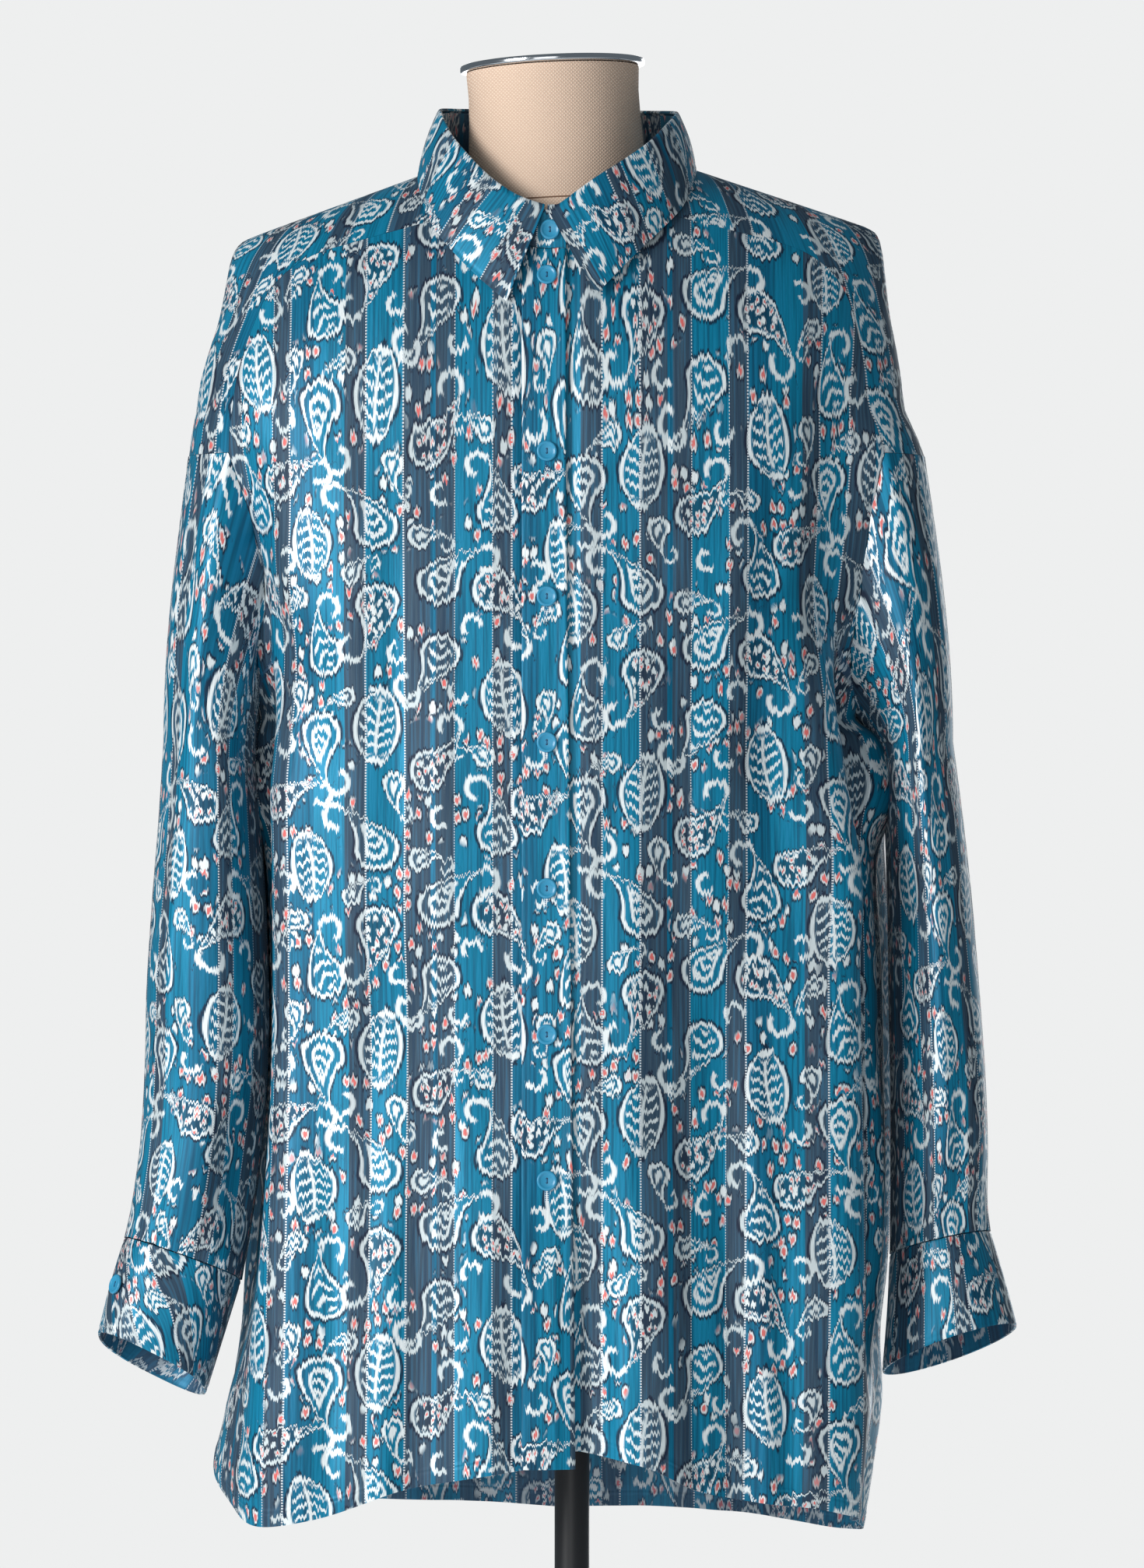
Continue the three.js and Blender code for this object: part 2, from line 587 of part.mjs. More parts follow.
const SLEEVE_GAP = 1.4;
function sleeve(side) {
  const rings = SLEEVE_RINGS[sideName(side)];
  const points = [];
  for (let i = 0; i < SLEEVE_COLUMNS; i += 1) {
    const turn = i / SLEEVE_COLUMNS * 2 * Math.PI;
    const seam = armholePoint(side, turn);
    const first = ringPoint(rings[0], turn);
    const skip = SLEEVE_GAP / seam.distanceTo(first);
    const column = spaced(SLEEVE_TOP_ROWS, (t) => mix(skip, 1, t)).map((t) => new THREE.Vector3(
      mix(seam.x, first.x, Math.sin(t * Math.PI / 2)),
      mix(seam.y, first.y, Math.sin(t * Math.PI / 2)),
      mix(seam.z, first.z, t),
    ));
    for (let k = 0; k < rings.length - 1; k += 1) {
      for (const t of [0.5, 1]) {
        const ring = Object.fromEntries(RING.map((name) => [name, mix(rings[k][name], rings[k + 1][name], t)]));
        column.push(ringPoint(ring, turn));
      }
    }
    const middleX = (rings[0].outX + rings[0].inX) / 2;
    column.forEach((point) => {
      const out = new THREE.Vector3(point.x - middleX, point.y, 0).normalize();
      let height = 0;
      for (const fold of SLEEVE_FOLDS) {
        if (fold.side !== side || point.z > fold.top || point.z < fold.bottom) continue;
        const t = (fold.top - point.z) / (fold.top - fold.bottom);
        const angle = turn > Math.PI ? turn - 2 * Math.PI : turn;
        const off = (angle * 180 / Math.PI - mix(fold.from, fold.to, t)) / fold.half;
        height += fold.height * Math.sin(Math.PI * t) * Math.exp(-off * off);
      }
      point.addScaledVector(out, height);
    });
    points.push(column);
  }
  const centre = (i, j) => {
    const opposite = points[(i + SLEEVE_COLUMNS / 2) % SLEEVE_COLUMNS][j];
    return points[i][j].clone().add(opposite).multiplyScalar(0.5);
  };
  return wall(points, CLOTH, centre, true);
}

const CUFF_ROWS = 4;
function cuffPoints(side, raise = 0) {
  const rings = CUFF_RINGS[sideName(side)].map((ring, k) => ({ k, ...ring }));
  return spaced(CUFF_COLUMNS).slice(0, -1).map((share) => spaced(CUFF_ROWS, (t) => t * (rings.length - 1)).map((at) => {
    const ring = Object.fromEntries(RING.map((name) => [name, read(rings, 'k', name, at)]));
    const grown = { ...ring, deep: ring.deep + raise };
    grown.outX += Math.sign(ring.outX) * raise;
    grown.inX -= Math.sign(ring.inX) * raise;
    return ringPoint(grown, share * 2 * Math.PI);
  }));
}
function cuff(side) {
  const points = cuffPoints(side, 0.3);
  const centre = (i, j) => {
    const opposite = points[(i + CUFF_COLUMNS / 2) % CUFF_COLUMNS][j];
    return points[i][j].clone().add(opposite).multiplyScalar(0.5);
  };
  return wall(points, DOUBLE, centre, true);
}

// Collar

// Height of the collar's fold line around the neck, by the angle from the front
const FOLD_LINE = table(['angle', 'left', 'right'], [
  [0, 1402, 1404], [18, 1409, 1420], [33, 1420, 1431], [50, 1436, 1443], [66, 1450, 1454.5], [80, 1461, 1461],
  [90, 1465.5, 1464], [135, 1470, 1469], [180, 1472, 1472],
]);
// Outer edge of the collar: the angle of the fold line that it hangs from, distance across and height
const LEAF = {
  left: table(['angle', 'across', 'deep', 'z'], [
    [6.5, 30, 93, 1350], [18, 49, 84, 1367], [36, 68, 71, 1388], [54, 77, 58, 1403.5], [72, 81.5, 41, 1417],
    [90, 82.5, 20, 1427], [120, 75, -30, 1428], [150, 46, -60, 1425], [180, 0, -70, 1424],
  ]),
  right: table(['angle', 'across', 'deep', 'z'], [
    [-5, 22, 94, 1354], [18, 41, 86, 1374], [36, 58, 74, 1391], [54, 71, 60, 1405], [72, 78.5, 42, 1416],
    [90, 81, 20, 1426], [120, 75, -30, 1428], [150, 46, -60, 1425], [180, 0, -70, 1424],
  ]),
};
const STAND = { inset: 2.5, start: 3.6, end: -372, sunk: 2.4, columns: 36, rows: 2, lift: 1 };
const COLLAR = { columns: 15, left: 6.5, right: -5, bulge: 1.4, fold: 1.6, clear: 3.2 };

function foldPoint(side, angle, inset) {
  const turn = degrees(angle);
  return new THREE.Vector3(
    BODY_X + side * (NECK.width + 1 - inset) * Math.sin(turn),
    NECK.y - (NECK.depth + 3 - inset) * Math.cos(turn),
    read(FOLD_LINE, 'angle', sideName(side), angle),
  );
}

function stand() {
  const points = spaced(STAND.columns, (t) => mix(STAND.start, STAND.end, t)).map((angle) => {
    const wrapped = ((angle % 360) + 540) % 360 - 180;
    const side = wrapped < 0 ? -1 : 1;
    const turn = degrees(Math.abs(wrapped));
    const sunk = STAND.sunk * smooth((-330 - angle) / 24);
    const foot = onNeck(side, turn, -sunk);
    const bottom = bodyPoint(foot.face, side * foot.along, foot.level);
    bottom.z += STAND.lift;
    const top = foldPoint(side, Math.abs(wrapped), STAND.inset + sunk);
    return spaced(STAND.rows, (t) => bottom.clone().lerp(top, t));
  });
  return wall(points, DOUBLE, () => new THREE.Vector3(BODY_X, NECK.y, RIDGE_Z));
}

function collar() {
  const leaf = (side) => spaced(COLLAR.columns, (t) => mix(COLLAR[sideName(side)], 180, t)).map((angle) => {
    const rows = LEAF[sideName(side)];
    const edge = new THREE.Vector3(
      BODY_X + side * read(rows, 'angle', 'across', angle),
      -read(rows, 'angle', 'deep', angle),
      read(rows, 'angle', 'z', angle),
    );
    const under = onArch(side, edge.x - BODY_X, edge.y);
    const surface = bodyPoint(under.face, side * under.along, under.level).z;
    edge.z = Math.max(edge.z, surface + COLLAR.clear);
    const start = foldPoint(side, angle, STAND.inset);
    start.z += 1.5;
    const crest = foldPoint(side, angle, STAND.inset - 1.2);
    crest.z += COLLAR.fold + 1.3;
    const over = foldPoint(side, angle, STAND.inset - 3.2);
    over.z += 0.4;
    const middle = new THREE.Vector3(BODY_X, NECK.y, over.z);
    const out = over.clone().sub(middle).setZ(0).normalize();
    const hang = [0.33, 0.67, 1].map((t) => over.clone().lerp(edge, t)
      .addScaledVector(out, COLLAR.bulge * Math.sin(Math.PI * t)));
    return [start, crest, over, ...hang];
  });
  const left = leaf(-1);
  const right = leaf(1).reverse();
  return wall([...left, ...right.slice(1)], CLOTH, (i, j, point) => new THREE.Vector3(BODY_X, NECK.y, point.z - 20));
}

// Buttons

const BUTTON_SIDES = 10;
function buttonShape() {
  const { radius, thick, rim } = BUTTON;
  const profile = [
    [0, 0], [radius * 0.8, 0], [radius, thick * 0.4], [radius * 0.93, thick], [radius * 0.72, thick],
    [radius * 0.62, thick - rim], [0, thick - rim],
  ].map(([x, y]) => new THREE.Vector2(x, y));
  return new THREE.LatheGeometry(profile, BUTTON_SIDES);
}

// Turns the shape so that its axis is the outward direction, with its back at the place
function seated(shape, place, outward) {
  const turn = new THREE.Quaternion().setFromUnitVectors(new THREE.Vector3(0, 1, 0), outward);
  return shape.applyQuaternion(turn).translate(place.x, place.y, place.z);
}

const BUTTON_GAP = 0.6;
function frontButton(along, level, gap = BUTTON_GAP) {
  const place = bodyPoint(FRONT, along, level, BAND.proud);
  const aside = bodyPoint(FRONT, along + 3, level, BAND.proud).sub(bodyPoint(FRONT, along - 3, level, BAND.proud));
  const below = toLevel(toDown(level) + 3);
  const above = toLevel(toDown(level) - 3);
  const down = bodyPoint(FRONT, along, below, BAND.proud).sub(bodyPoint(FRONT, along, above, BAND.proud));
  const outward = aside.cross(down).normalize();
  if (outward.y > 0) outward.negate();
  return seated(buttonShape(), place.addScaledVector(outward, gap), outward);
}

function standButton() {
  const foot = onNeck(-1, degrees(4));
  const bottom = bodyPoint(foot.face, -foot.along, foot.level);
  const top = foldPoint(-1, 4, STAND.inset);
  const outward = new THREE.Vector3(0, -(top.z - bottom.z), bottom.y - top.y).normalize();
  if (outward.y > 0) outward.negate();
  const place = bottom.lerp(top, 0.5).addScaledVector(outward, BUTTON_GAP + 0.2);
  return seated(buttonShape(), place, outward);
}

function cuffButton(side, angle) {
  const rings = CUFF_RINGS[sideName(side)];
  const turn = degrees(angle);
  const ring = rings[1];
  const middle = ringPoint(ring, turn);
  const aside = ringPoint(ring, turn + 0.05).sub(ringPoint(ring, turn - 0.05));
  const down = ringPoint(rings[2], turn).sub(ringPoint(rings[0], turn));
  const outward = aside.cross(down).normalize();
  const away = middle.clone().sub(new THREE.Vector3((ring.outX + ring.inX) / 2, ring.midY, middle.z));
  if (outward.dot(away) < 0) outward.negate();
  return seated(buttonShape(), middle.addScaledVector(outward, BUTTON_GAP + 0.5), outward);
}

// Dress form

const FORM = table(['z', 'across', 'front', 'back', 'middle', 'power'], [
  [1264, 166, 84, 78, -8, 2.3],
  [1200, 156, 94, 82, -7, 2.3],
  [1130, 136, 90, 82, -5, 2.2],
  [1050, 121, 84, 80, -3, 2.1],
  [970, 130, 88, 88, -1, 2.1],
  [900, 140, 92, 94, 0, 2.1],
  [820, 143, 94, 94, 0, 2.1],
  [745, 138, 90, 90, 0, 2.1],
]);
const FORM_SHOULDER = 176;
const FORM_GAP = 2.2;         // the cloth's wall and a little air, under the shoulder line
const FORM_SIDES = 28;
const FORM_TOP_ROWS = 5;
const FORM_ROWS = 7;
const NECK_FORM = { x: -11.5, y: -6, width: 51.5, depth: 52, waist: 1.5, bottom: 1385, top: 1492, tilt: degrees(-2.7) };

function formPoint(turn, row) {
  const side = Math.sin(turn) < 0 ? -1 : 1;
  const name = Math.cos(turn) > 0 ? 'front' : 'back';
  const curve = (value, power) => Math.sign(value) * Math.abs(value) ** (2 / power);
  const first = FORM[0];
  if (row <= FORM_TOP_ROWS) {
    const angle = row / FORM_TOP_ROWS * Math.PI / 2;
    const drop = (1 - Math.cos(angle)) ** 0.8;
    const across = mix(FORM_SHOULDER, first.across, drop) * curve(Math.sin(turn), first.power);
    const deep = first[name] * Math.sin(angle);
    const height = ridgeHeight(side, Math.abs(across)) - FORM_GAP;
    return [first.middle + across, -deep * curve(Math.cos(turn), first.power), mix(height, ARM_Z, drop)];
  }
  const z = mix(ARM_Z, FORM[FORM.length - 1].z, (row - FORM_TOP_ROWS) / FORM_ROWS);
  const power = read(FORM, 'z', 'power', z);
  return [
    read(FORM, 'z', 'middle', z) + read(FORM, 'z', 'across', z) * curve(Math.sin(turn), power),
    -read(FORM, 'z', name, z) * curve(Math.cos(turn), power),
    z,
  ];
}

function toManifold(geometry) {
  const bare = geometry.clone();
  bare.deleteAttribute('normal');
  bare.deleteAttribute('uv');
  const merged = mergeVertices(bare, 1e-3);
  return new wasm.Manifold(new wasm.Mesh({
    numProp: 3,
    vertProperties: new Float32Array(merged.attributes.position.array),
    triVerts: new Uint32Array(merged.index.array),
  }));
}

function fromManifold(body) {
  const mesh = body.getMesh();
  return solid(Array.from(mesh.vertProperties), Array.from(mesh.triVerts));
}

function torso() {
  const rows = FORM_TOP_ROWS + FORM_ROWS;
  const positions = [];
  for (let row = 0; row <= rows; row += 1) {
    for (let k = 0; k < FORM_SIDES; k += 1) {
      const mirrored = row === 0 && k > FORM_SIDES / 2 ? FORM_SIDES - k : k;
      const turn = (row === 0 ? mirrored : k) / FORM_SIDES * 2 * Math.PI - Math.PI / 2;
      const point = formPoint(turn, row);
      if (row === 0) point[1] = 0;
      positions.push(...point);
    }
  }
  const bottom = positions.length / 3;
  positions.push(FORM[FORM.length - 1].middle, 0, FORM[FORM.length - 1].z);
  const triangles = [];
  for (let row = 0; row < rows; row += 1) {
    for (let k = 0; k < FORM_SIDES; k += 1) {
      const a = row * FORM_SIDES + k;
      const b = row * FORM_SIDES + (k + 1) % FORM_SIDES;
      triangles.push(a, b + FORM_SIDES, b, a, a + FORM_SIDES, b + FORM_SIDES);
    }
  }
  for (let k = 0; k < FORM_SIDES; k += 1) {
    triangles.push(rows * FORM_SIDES + k, bottom, rows * FORM_SIDES + (k + 1) % FORM_SIDES);
  }
  return solid(positions, triangles);
}

function formTorso() {
  const { width, depth, waist, bottom, top, tilt } = NECK_FORM;
  const profile = [[0, bottom], [width + 5, bottom], [width + 2, 1425], [width, 1445], [width - waist, 1465],
    [width - waist, 1480], [width - 0.5, top], [0, top]].map(([x, y]) => new THREE.Vector2(x, y - top));
  const neck = new THREE.LatheGeometry(profile, 24);
  neck.rotateX(Math.PI / 2);
  neck.scale(1, depth / width, 1);
  neck.rotateY(tilt);
  neck.translate(NECK_FORM.x, NECK_FORM.y, top);
  return fromManifold(toManifold(torso()).add(toManifold(neck)));
}

function neckCap() {
  const { width, depth, top, tilt } = NECK_FORM;
  const radius = width + 3;
  const profile = [[0, 0.6], [radius - 1.2, 0.6], [radius, 1.6], [radius, 3.4], [radius - 1.2, 4.4], [0, 5]]
    .map(([x, y]) => new THREE.Vector2(x, y));
  const cap = new THREE.LatheGeometry(profile, 28);
  cap.rotateX(Math.PI / 2);
  cap.scale(1, (depth + 3) / radius, 1);
  cap.rotateY(tilt);
  cap.translate(NECK_FORM.x, NECK_FORM.y, top);
  return cap;
}

const BASE = { thick: 8, hub: 17, hubTop: 34 };
function formBase() {
  const profile = [[0, 0], [BASE_RADIUS, 0], [BASE_RADIUS, BASE.thick - 2], [BASE_RADIUS - 3, BASE.thick],
    [BASE.hub + 4, BASE.thick + 1], [BASE.hub, BASE.thick + 4], [BASE.hub, BASE.hubTop - 1.5],
    [BASE.hub - 1.5, BASE.hubTop], [0, BASE.hubTop]].map(([x, y]) => new THREE.Vector2(x, y));
  return new THREE.LatheGeometry(profile, 32).rotateX(Math.PI / 2);
}

function formPole() {
  const bottom = BASE.hubTop + 0.3;
  const top = FORM[FORM.length - 1].z - 0.3;
  return new THREE.CylinderGeometry(POLE_RADIUS, POLE_RADIUS, top - bottom, 20)
    .rotateX(Math.PI / 2).translate(0, 0, (top + bottom) / 2);
}

// Materials

const material = (color, roughness, metalness = 0) => new THREE.MeshStandardMaterial({ color, roughness, metalness });
const SATIN = material('#1c6690', 0.45);
const SATIN_LIGHT = material('#2a7fae', 0.45);
const BLUE_BUTTON = material('#4aa6cf', 0.3);
const LINEN = material('#d3b496', 0.9);
const STEEL = material('#b9bcc0', 0.25, 1);
const BLACK = material('#141516', 0.45);

// The part

const part = new THREE.Group();
function add(name, geometry, finish) {
  const mesh = new THREE.Mesh(geometry, finish);
  mesh.name = name;
  part.add(mesh);
}

add('front_right', frontRight(), SATIN);
add('front_placket', placket(), SATIN_LIGHT);
add('front_left', frontLeft(), SATIN);
add('back', back(), SATIN);
add('yoke', yoke(), SATIN_LIGHT);
add('sleeve_right', sleeve(-1), SATIN);
add('sleeve_left', sleeve(1), SATIN);
add('cuff_right', cuff(-1), SATIN_LIGHT);
add('cuff_left', cuff(1), SATIN_LIGHT);
add('collar_stand', stand(), SATIN);
add('collar', collar(), SATIN_LIGHT);

add('button_1', standButton(), BLUE_BUTTON);
const FRONT_BUTTONS = { along: -6.5, topLevel: -0.35, topGap: -0.1, level: 1, pitch: 84, count: 6 };
add('button_2', frontButton(FRONT_BUTTONS.along, FRONT_BUTTONS.topLevel, FRONT_BUTTONS.topGap), BLUE_BUTTON);
for (let k = 0; k < FRONT_BUTTONS.count; k += 1) {
  const level = FRONT_BUTTONS.level + k * FRONT_BUTTONS.pitch;
  add(`button_${k + 3}`, frontButton(FRONT_BUTTONS.along, level), BLUE_BUTTON);
}
add('cuff_button_right', cuffButton(-1, 40), BLUE_BUTTON);
add('cuff_button_left', cuffButton(1, -70), BLUE_BUTTON);

add('form_torso', formTorso(), LINEN);
add('form_neck_cap', neckCap(), STEEL);
add('form_pole', formPole(), BLACK);
add('form_base', formBase(), BLACK);

export default part;
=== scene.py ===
"""Looks of the tunic on its dress form. Shapes are worked out in millimetres and made in metres."""

import math

import bpy
import numpy as np
from mathutils import Matrix, Vector


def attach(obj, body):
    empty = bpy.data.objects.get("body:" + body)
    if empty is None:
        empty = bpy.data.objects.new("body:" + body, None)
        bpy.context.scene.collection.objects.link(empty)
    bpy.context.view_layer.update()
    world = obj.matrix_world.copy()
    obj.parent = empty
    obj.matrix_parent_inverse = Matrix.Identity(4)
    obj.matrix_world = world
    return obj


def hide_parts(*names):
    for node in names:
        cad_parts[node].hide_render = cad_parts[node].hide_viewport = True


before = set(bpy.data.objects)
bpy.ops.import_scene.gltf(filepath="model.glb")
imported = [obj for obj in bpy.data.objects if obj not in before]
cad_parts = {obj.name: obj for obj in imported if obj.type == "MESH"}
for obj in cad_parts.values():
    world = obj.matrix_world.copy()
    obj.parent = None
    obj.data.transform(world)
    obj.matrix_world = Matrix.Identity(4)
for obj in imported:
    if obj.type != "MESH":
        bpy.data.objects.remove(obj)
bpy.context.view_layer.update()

MM = 0.001
FRONT = -1
BACK = 1

# Driving sizes in millimetres, as in the solids apart from the cloth's thickness and the gaps at seams
CLOTH = 0.8
DOUBLE = 1.2
SEAM = 0.06
BODY_X = -8
RIDGE_Z = 1419
RIDGE_AT = 118
RIDGE_SLOPE = 0.35
LEAN = 0.018
ARM_Z = 1264
UNDERARM_Z = 1110
UNDERARM_DROP = ARM_Z - UNDERARM_Z
ARM_DEPTH = 60
NECK_Y, NECK_WIDTH, NECK_DEPTH = -15, 70, 65
NECK_CORNER = math.pi / 4
NECK_ROOM = 0.3
BAND_INNER, BAND_TOP, BAND_HEM, BAND_PROUD = -21, 4.4, 10, 0.6
LAP_INNER, LAP_SUNK, LAP_RAMP, LAP_UP = -18, 2.2, 12, 5
EDGE_LIFT = 1.3
BUTTON_RADIUS, BUTTON_THICK = 5.9, 2.3
POLE_RADIUS = 10.3
BASE_RADIUS = 175

SHOULDER = np.array([
    # drop, left, right
    (0, 179, 181), (0.03, 187.5, 187.5), (0.1, 193, 191), (0.25, 197, 193.5), (0.4, 201, 196),
    (0.53, 206.5, 199.5), (0.67, 211.5, 202.5), (0.81, 214, 205), (0.9, 216.5, 211), (1, 218, 216),
])
BODY = np.array([
    # height, left, right, front, back, squareness in front, squareness behind
    (1264, 218, 216, 100, 92, 2.6, 2.6), (1200, 199, 198, 105, 96, 2.5, 2.6),
    (1150, 186, 184, 108, 98, 2.45, 2.7), (1110, 177, 175.5, 110, 100, 2.4, 2.8),
    (1090, 175.5, 177, 110.5, 100.5, 2.35, 2.9), (1060, 182, 190, 111, 101, 2.3, 3),
    (1000, 181.5, 199, 112, 102, 2.25, 3.2), (940, 180, 202, 112, 103, 2.25, 3.2),
    (880, 181.5, 202, 112, 104, 2.3, 3.2), (830, 185.5, 201, 113, 105, 2.4, 3.1),
    (780, 190, 198, 114, 106, 2.5, 3), (740, 191, 188.5, 115, 107, 2.6, 2.9),
    (700, 197, 184.5, 116, 108, 2.7, 2.8), (670, 203, 179, 117, 109, 2.8, 2.8),
    (640, 198, 173, 117, 109, 2.8, 2.8), (620, 192, 168, 117, 109, 2.8, 2.8),
])
HEM_FRONT = np.array([
    # share of the way to the side, left, right
    (0, 677, 687), (0.17, 670, 678), (0.3, 663, 664), (0.42, 652, 658), (0.5, 646, 655), (0.6, 642, 652),
    (0.68, 646, 647), (0.78, 656, 642), (0.9, 667, 638), (1, 673, 637),
])
HEM_BACK = np.array([(0, 633, 633), (0.3, 638, 634), (0.6, 642, 628), (0.85, 658, 627), (1, 673, 637)])

# Folds: face, side, top, place at the top, bottom, place at the bottom, half width, height
MAIN_FOLDS = [
    (FRONT, -1, 1262, 172, 1120, 150, 20, 8), (FRONT, -1, 1300, 196, 1110, 176, 18, -9),
    (FRONT, -1, 1290, 124, 900, 118, 17, 5), (FRONT, -1, 1160, 162, 540, 172, 25, 13),
    (FRONT, -1, 1010, 84, 540, 80, 24, -7), (FRONT, -1, 900, 40, 540, 42, 24, 5),
    (FRONT, 1, 850, 20, 540, 22, 13, -9), (FRONT, 1, 880, 52, 540, 58, 22, 5),
    (FRONT, 1, 1020, 88, 540, 112, 24, -7), (FRONT, 1, 1350, 168, 1100, 172, 26, -9),
    (FRONT, 1, 1190, 150, 960, 172, 24, 12), (FRONT, 1, 1080, 172, 540, 172, 26, 15),
    (BACK, -1, 1240, 70, 540, 92, 26, -8), (BACK, -1, 1180, 188, 540, 196, 22, 12),
    (BACK, -1, 900, 34, 540, 38, 24, 5), (BACK, 1, 1260, 60, 540, 76, 26, -8),
    (BACK, 1, 1150, 200, 540, 208, 22, 12), (BACK, 1, 940, 116, 540, 118, 20, 5),
]
# Folds that only the looks have, most of them low and narrow
FINE_FOLDS = [
    (FRONT, -1, 1330, 150, 1190, 128, 9, 2.4), (FRONT, -1, 1290, 142, 1130, 112, 8, -2.2),
    (FRONT, -1, 1250, 96, 980, 92, 10, -2.2), (FRONT, -1, 1180, 68, 860, 60, 11, 1.8),
    (FRONT, -1, 1020, 110, 700, 112, 9, -2.6), (FRONT, -1, 980, 58, 540, 62, 9, 2.2),
    (FRONT, -1, 860, 98, 540, 104, 8, 2.4), (FRONT, -1, 820, 28, 540, 26, 8, -1.8),
    (FRONT, -1, 1120, 34, 760, 36, 10, -1.5), (FRONT, -1, 900, 132, 540, 134, 9, -3),
    (FRONT, -1, 1160, 196, 740, 206, 16, -19), (FRONT, 1, 1190, 190, 700, 202, 15, -15),
    (FRONT, 1, 1310, 132, 1120, 118, 9, -2.2), (FRONT, 1, 1270, 108, 1010, 96, 11, 2),
    (FRONT, 1, 1180, 74, 900, 70, 10, -2), (FRONT, 1, 1080, 44, 760, 40, 11, 1.8),
    (FRONT, 1, 980, 108, 540, 132, 9, 2.6), (FRONT, 1, 940, 72, 540, 86, 8, -2),
    (FRONT, 1, 860, 130, 540, 142, 8, -3), (FRONT, 1, 800, 36, 540, 38, 7, 1.8),
    (FRONT, 1, 1160, 122, 1000, 126, 9, -2.4), (FRONT, 1, 900, 96, 540, 104, 7, -1.8),
    (FRONT, 1, 930, 226, 700, 226, 26, 5), (FRONT, -1, 1262, 200, 1090, 190, 7, -7),
    (BACK, -1, 1200, 40, 700, 44, 12, -2.5), (BACK, -1, 1000, 116, 540, 120, 10, 2.5),
    (BACK, -1, 820, 64, 540, 66, 9, 2.2), (BACK, 1, 1220, 92, 800, 98, 12, 2.5),
    (BACK, 1, 1050, 34, 540, 38, 12, -2.2), (BACK, 1, 860, 96, 540, 96, 9, -2.4),
]
FOLDS = MAIN_FOLDS + FINE_FOLDS
FOLD_END = 90
# The hollow along each side seam, below the arms
TUCK = {"from": 26, "half": 30, "height": -11, "top": 1120, "bottom": 700}
# Cloth that gathers just under the arms, in the looks alone: its height at each side, then where it lies
UNDERARM = {-1: 10, 1: 24}
PUFF = {"middle": 1078, "tall": 36, "wide": 44, "top": 1112, "ramp": 14}
# Places worked out at a time, and halvings in a search
CHUNK = 8000
HALVINGS = 40


def mix(a, b, t):
    return a + (b - a) * t


def smooth(t):
    t = np.clip(t, 0, 1)
    return t * t * (3 - 2 * t)


def curve(table, column, at):
    """A smooth reading of one column of a table, at places along its first column."""
    keys, values = table[:, 0], table[:, column]
    if keys[0] > keys[-1]:
        keys, values = keys[::-1], values[::-1]
    order = np.arange(len(keys))
    before, after = np.maximum(order - 1, 0), np.minimum(order + 1, len(keys) - 1)
    slope = (values[after] - values[before]) / (keys[after] - keys[before])
    at = np.asarray(at, float)
    k = np.clip(np.searchsorted(keys, at, side="right") - 1, 0, len(keys) - 2)
    span = keys[k + 1] - keys[k]
    t = np.clip((at - keys[k]) / span, 0, 1)
    t2, t3 = t * t, t * t * t
    return ((2 * t3 - 3 * t2 + 1) * values[k] + (t3 - 2 * t2 + t) * span * slope[k]
            + (3 * t2 - 2 * t3) * values[k + 1] + (t3 - t2) * span * slope[k + 1])


# Level sections: quarters of superellipses, walked by their length
TURNS = np.linspace(0, math.pi / 2, 81)


def outline(across, deep, power):
    share = (2 / power)[:, None]
    x = across[:, None] * np.sin(TURNS)[None] ** share
    y = deep[:, None] * np.clip(np.cos(TURNS), 0, 1)[None] ** share
    y[:, -1] = 0
    step = np.hypot(np.diff(x), np.diff(y))
    length = np.concatenate([np.zeros((len(x), 1)), np.cumsum(step, 1)], 1)
    return x, y, step, length


def deep_column(face):
    return 3 if face == FRONT else 4


def section(face, side, level):
    """Half width, depth, squareness, height and drop of the cloth's section at each level."""
    side, level = np.broadcast_arrays(np.asarray(side, float), np.asarray(level, float))
    arch = level < 0
    turn = np.where(arch, (1 + level) * math.pi / 2, math.pi / 2)
    drop = 1 - np.cos(turn)
    z = ARM_Z - np.maximum(level, 0)
    low = np.where(side < 0, curve(BODY, 1, z), curve(BODY, 2, z))
    high = np.where(side < 0, curve(SHOULDER, 1, drop), curve(SHOULDER, 2, drop))
    across = np.where(arch, high, low)
    deep = curve(BODY, deep_column(face), z) * np.sin(turn)
    power = curve(BODY, 5 if face == FRONT else 6, z)
    return across, deep, power, z, np.where(arch, drop, 1.0), turn


def whole_length(face, side, level):
    across, deep, power, *_ = section(face, side, np.atleast_1d(level))
    shape = across.shape
    length = outline(across.ravel(), deep.ravel(), power.ravel())[3]
    return length[:, -1].reshape(shape)


def fold_height(face, side, along, whole, z):
    height = np.zeros_like(along)
    for on_face, on_side, top, start, bottom, end, half, high in FOLDS:
        if on_face != face:
            continue
        t = (top - z) / (top - bottom)
        off = (along - mix(start, end, t)) / half
        here = (side == on_side) & (t > 0) & (t < 1.0)
        ends = smooth((top - z) / FOLD_END) * smooth((z - bottom) / FOLD_END)
        height += np.where(here, high * ends * np.exp(-off * off), 0)
    reach = smooth((TUCK["top"] - z) / FOLD_END) * smooth((z - TUCK["bottom"]) / FOLD_END)
    near = (whole - along - TUCK["from"]) / TUCK["half"]
    far = (whole - along + TUCK["from"]) / TUCK["half"]
    from_seam, from_middle = (whole - along) / PUFF["wide"], (z - PUFF["middle"]) / PUFF["tall"]
    puff = np.where(side < 0, UNDERARM[-1], UNDERARM[1]) * np.exp(-from_middle ** 2 - from_seam ** 2)
    puff = puff * smooth((PUFF["top"] - z) / PUFF["ramp"])
    return height + puff + TUCK["height"] * reach * (np.exp(-near * near) + np.exp(-far * far))


def ridge_height(side, x):
    return RIDGE_Z - RIDGE_SLOPE * (x - RIDGE_AT) + side * LEAN * x


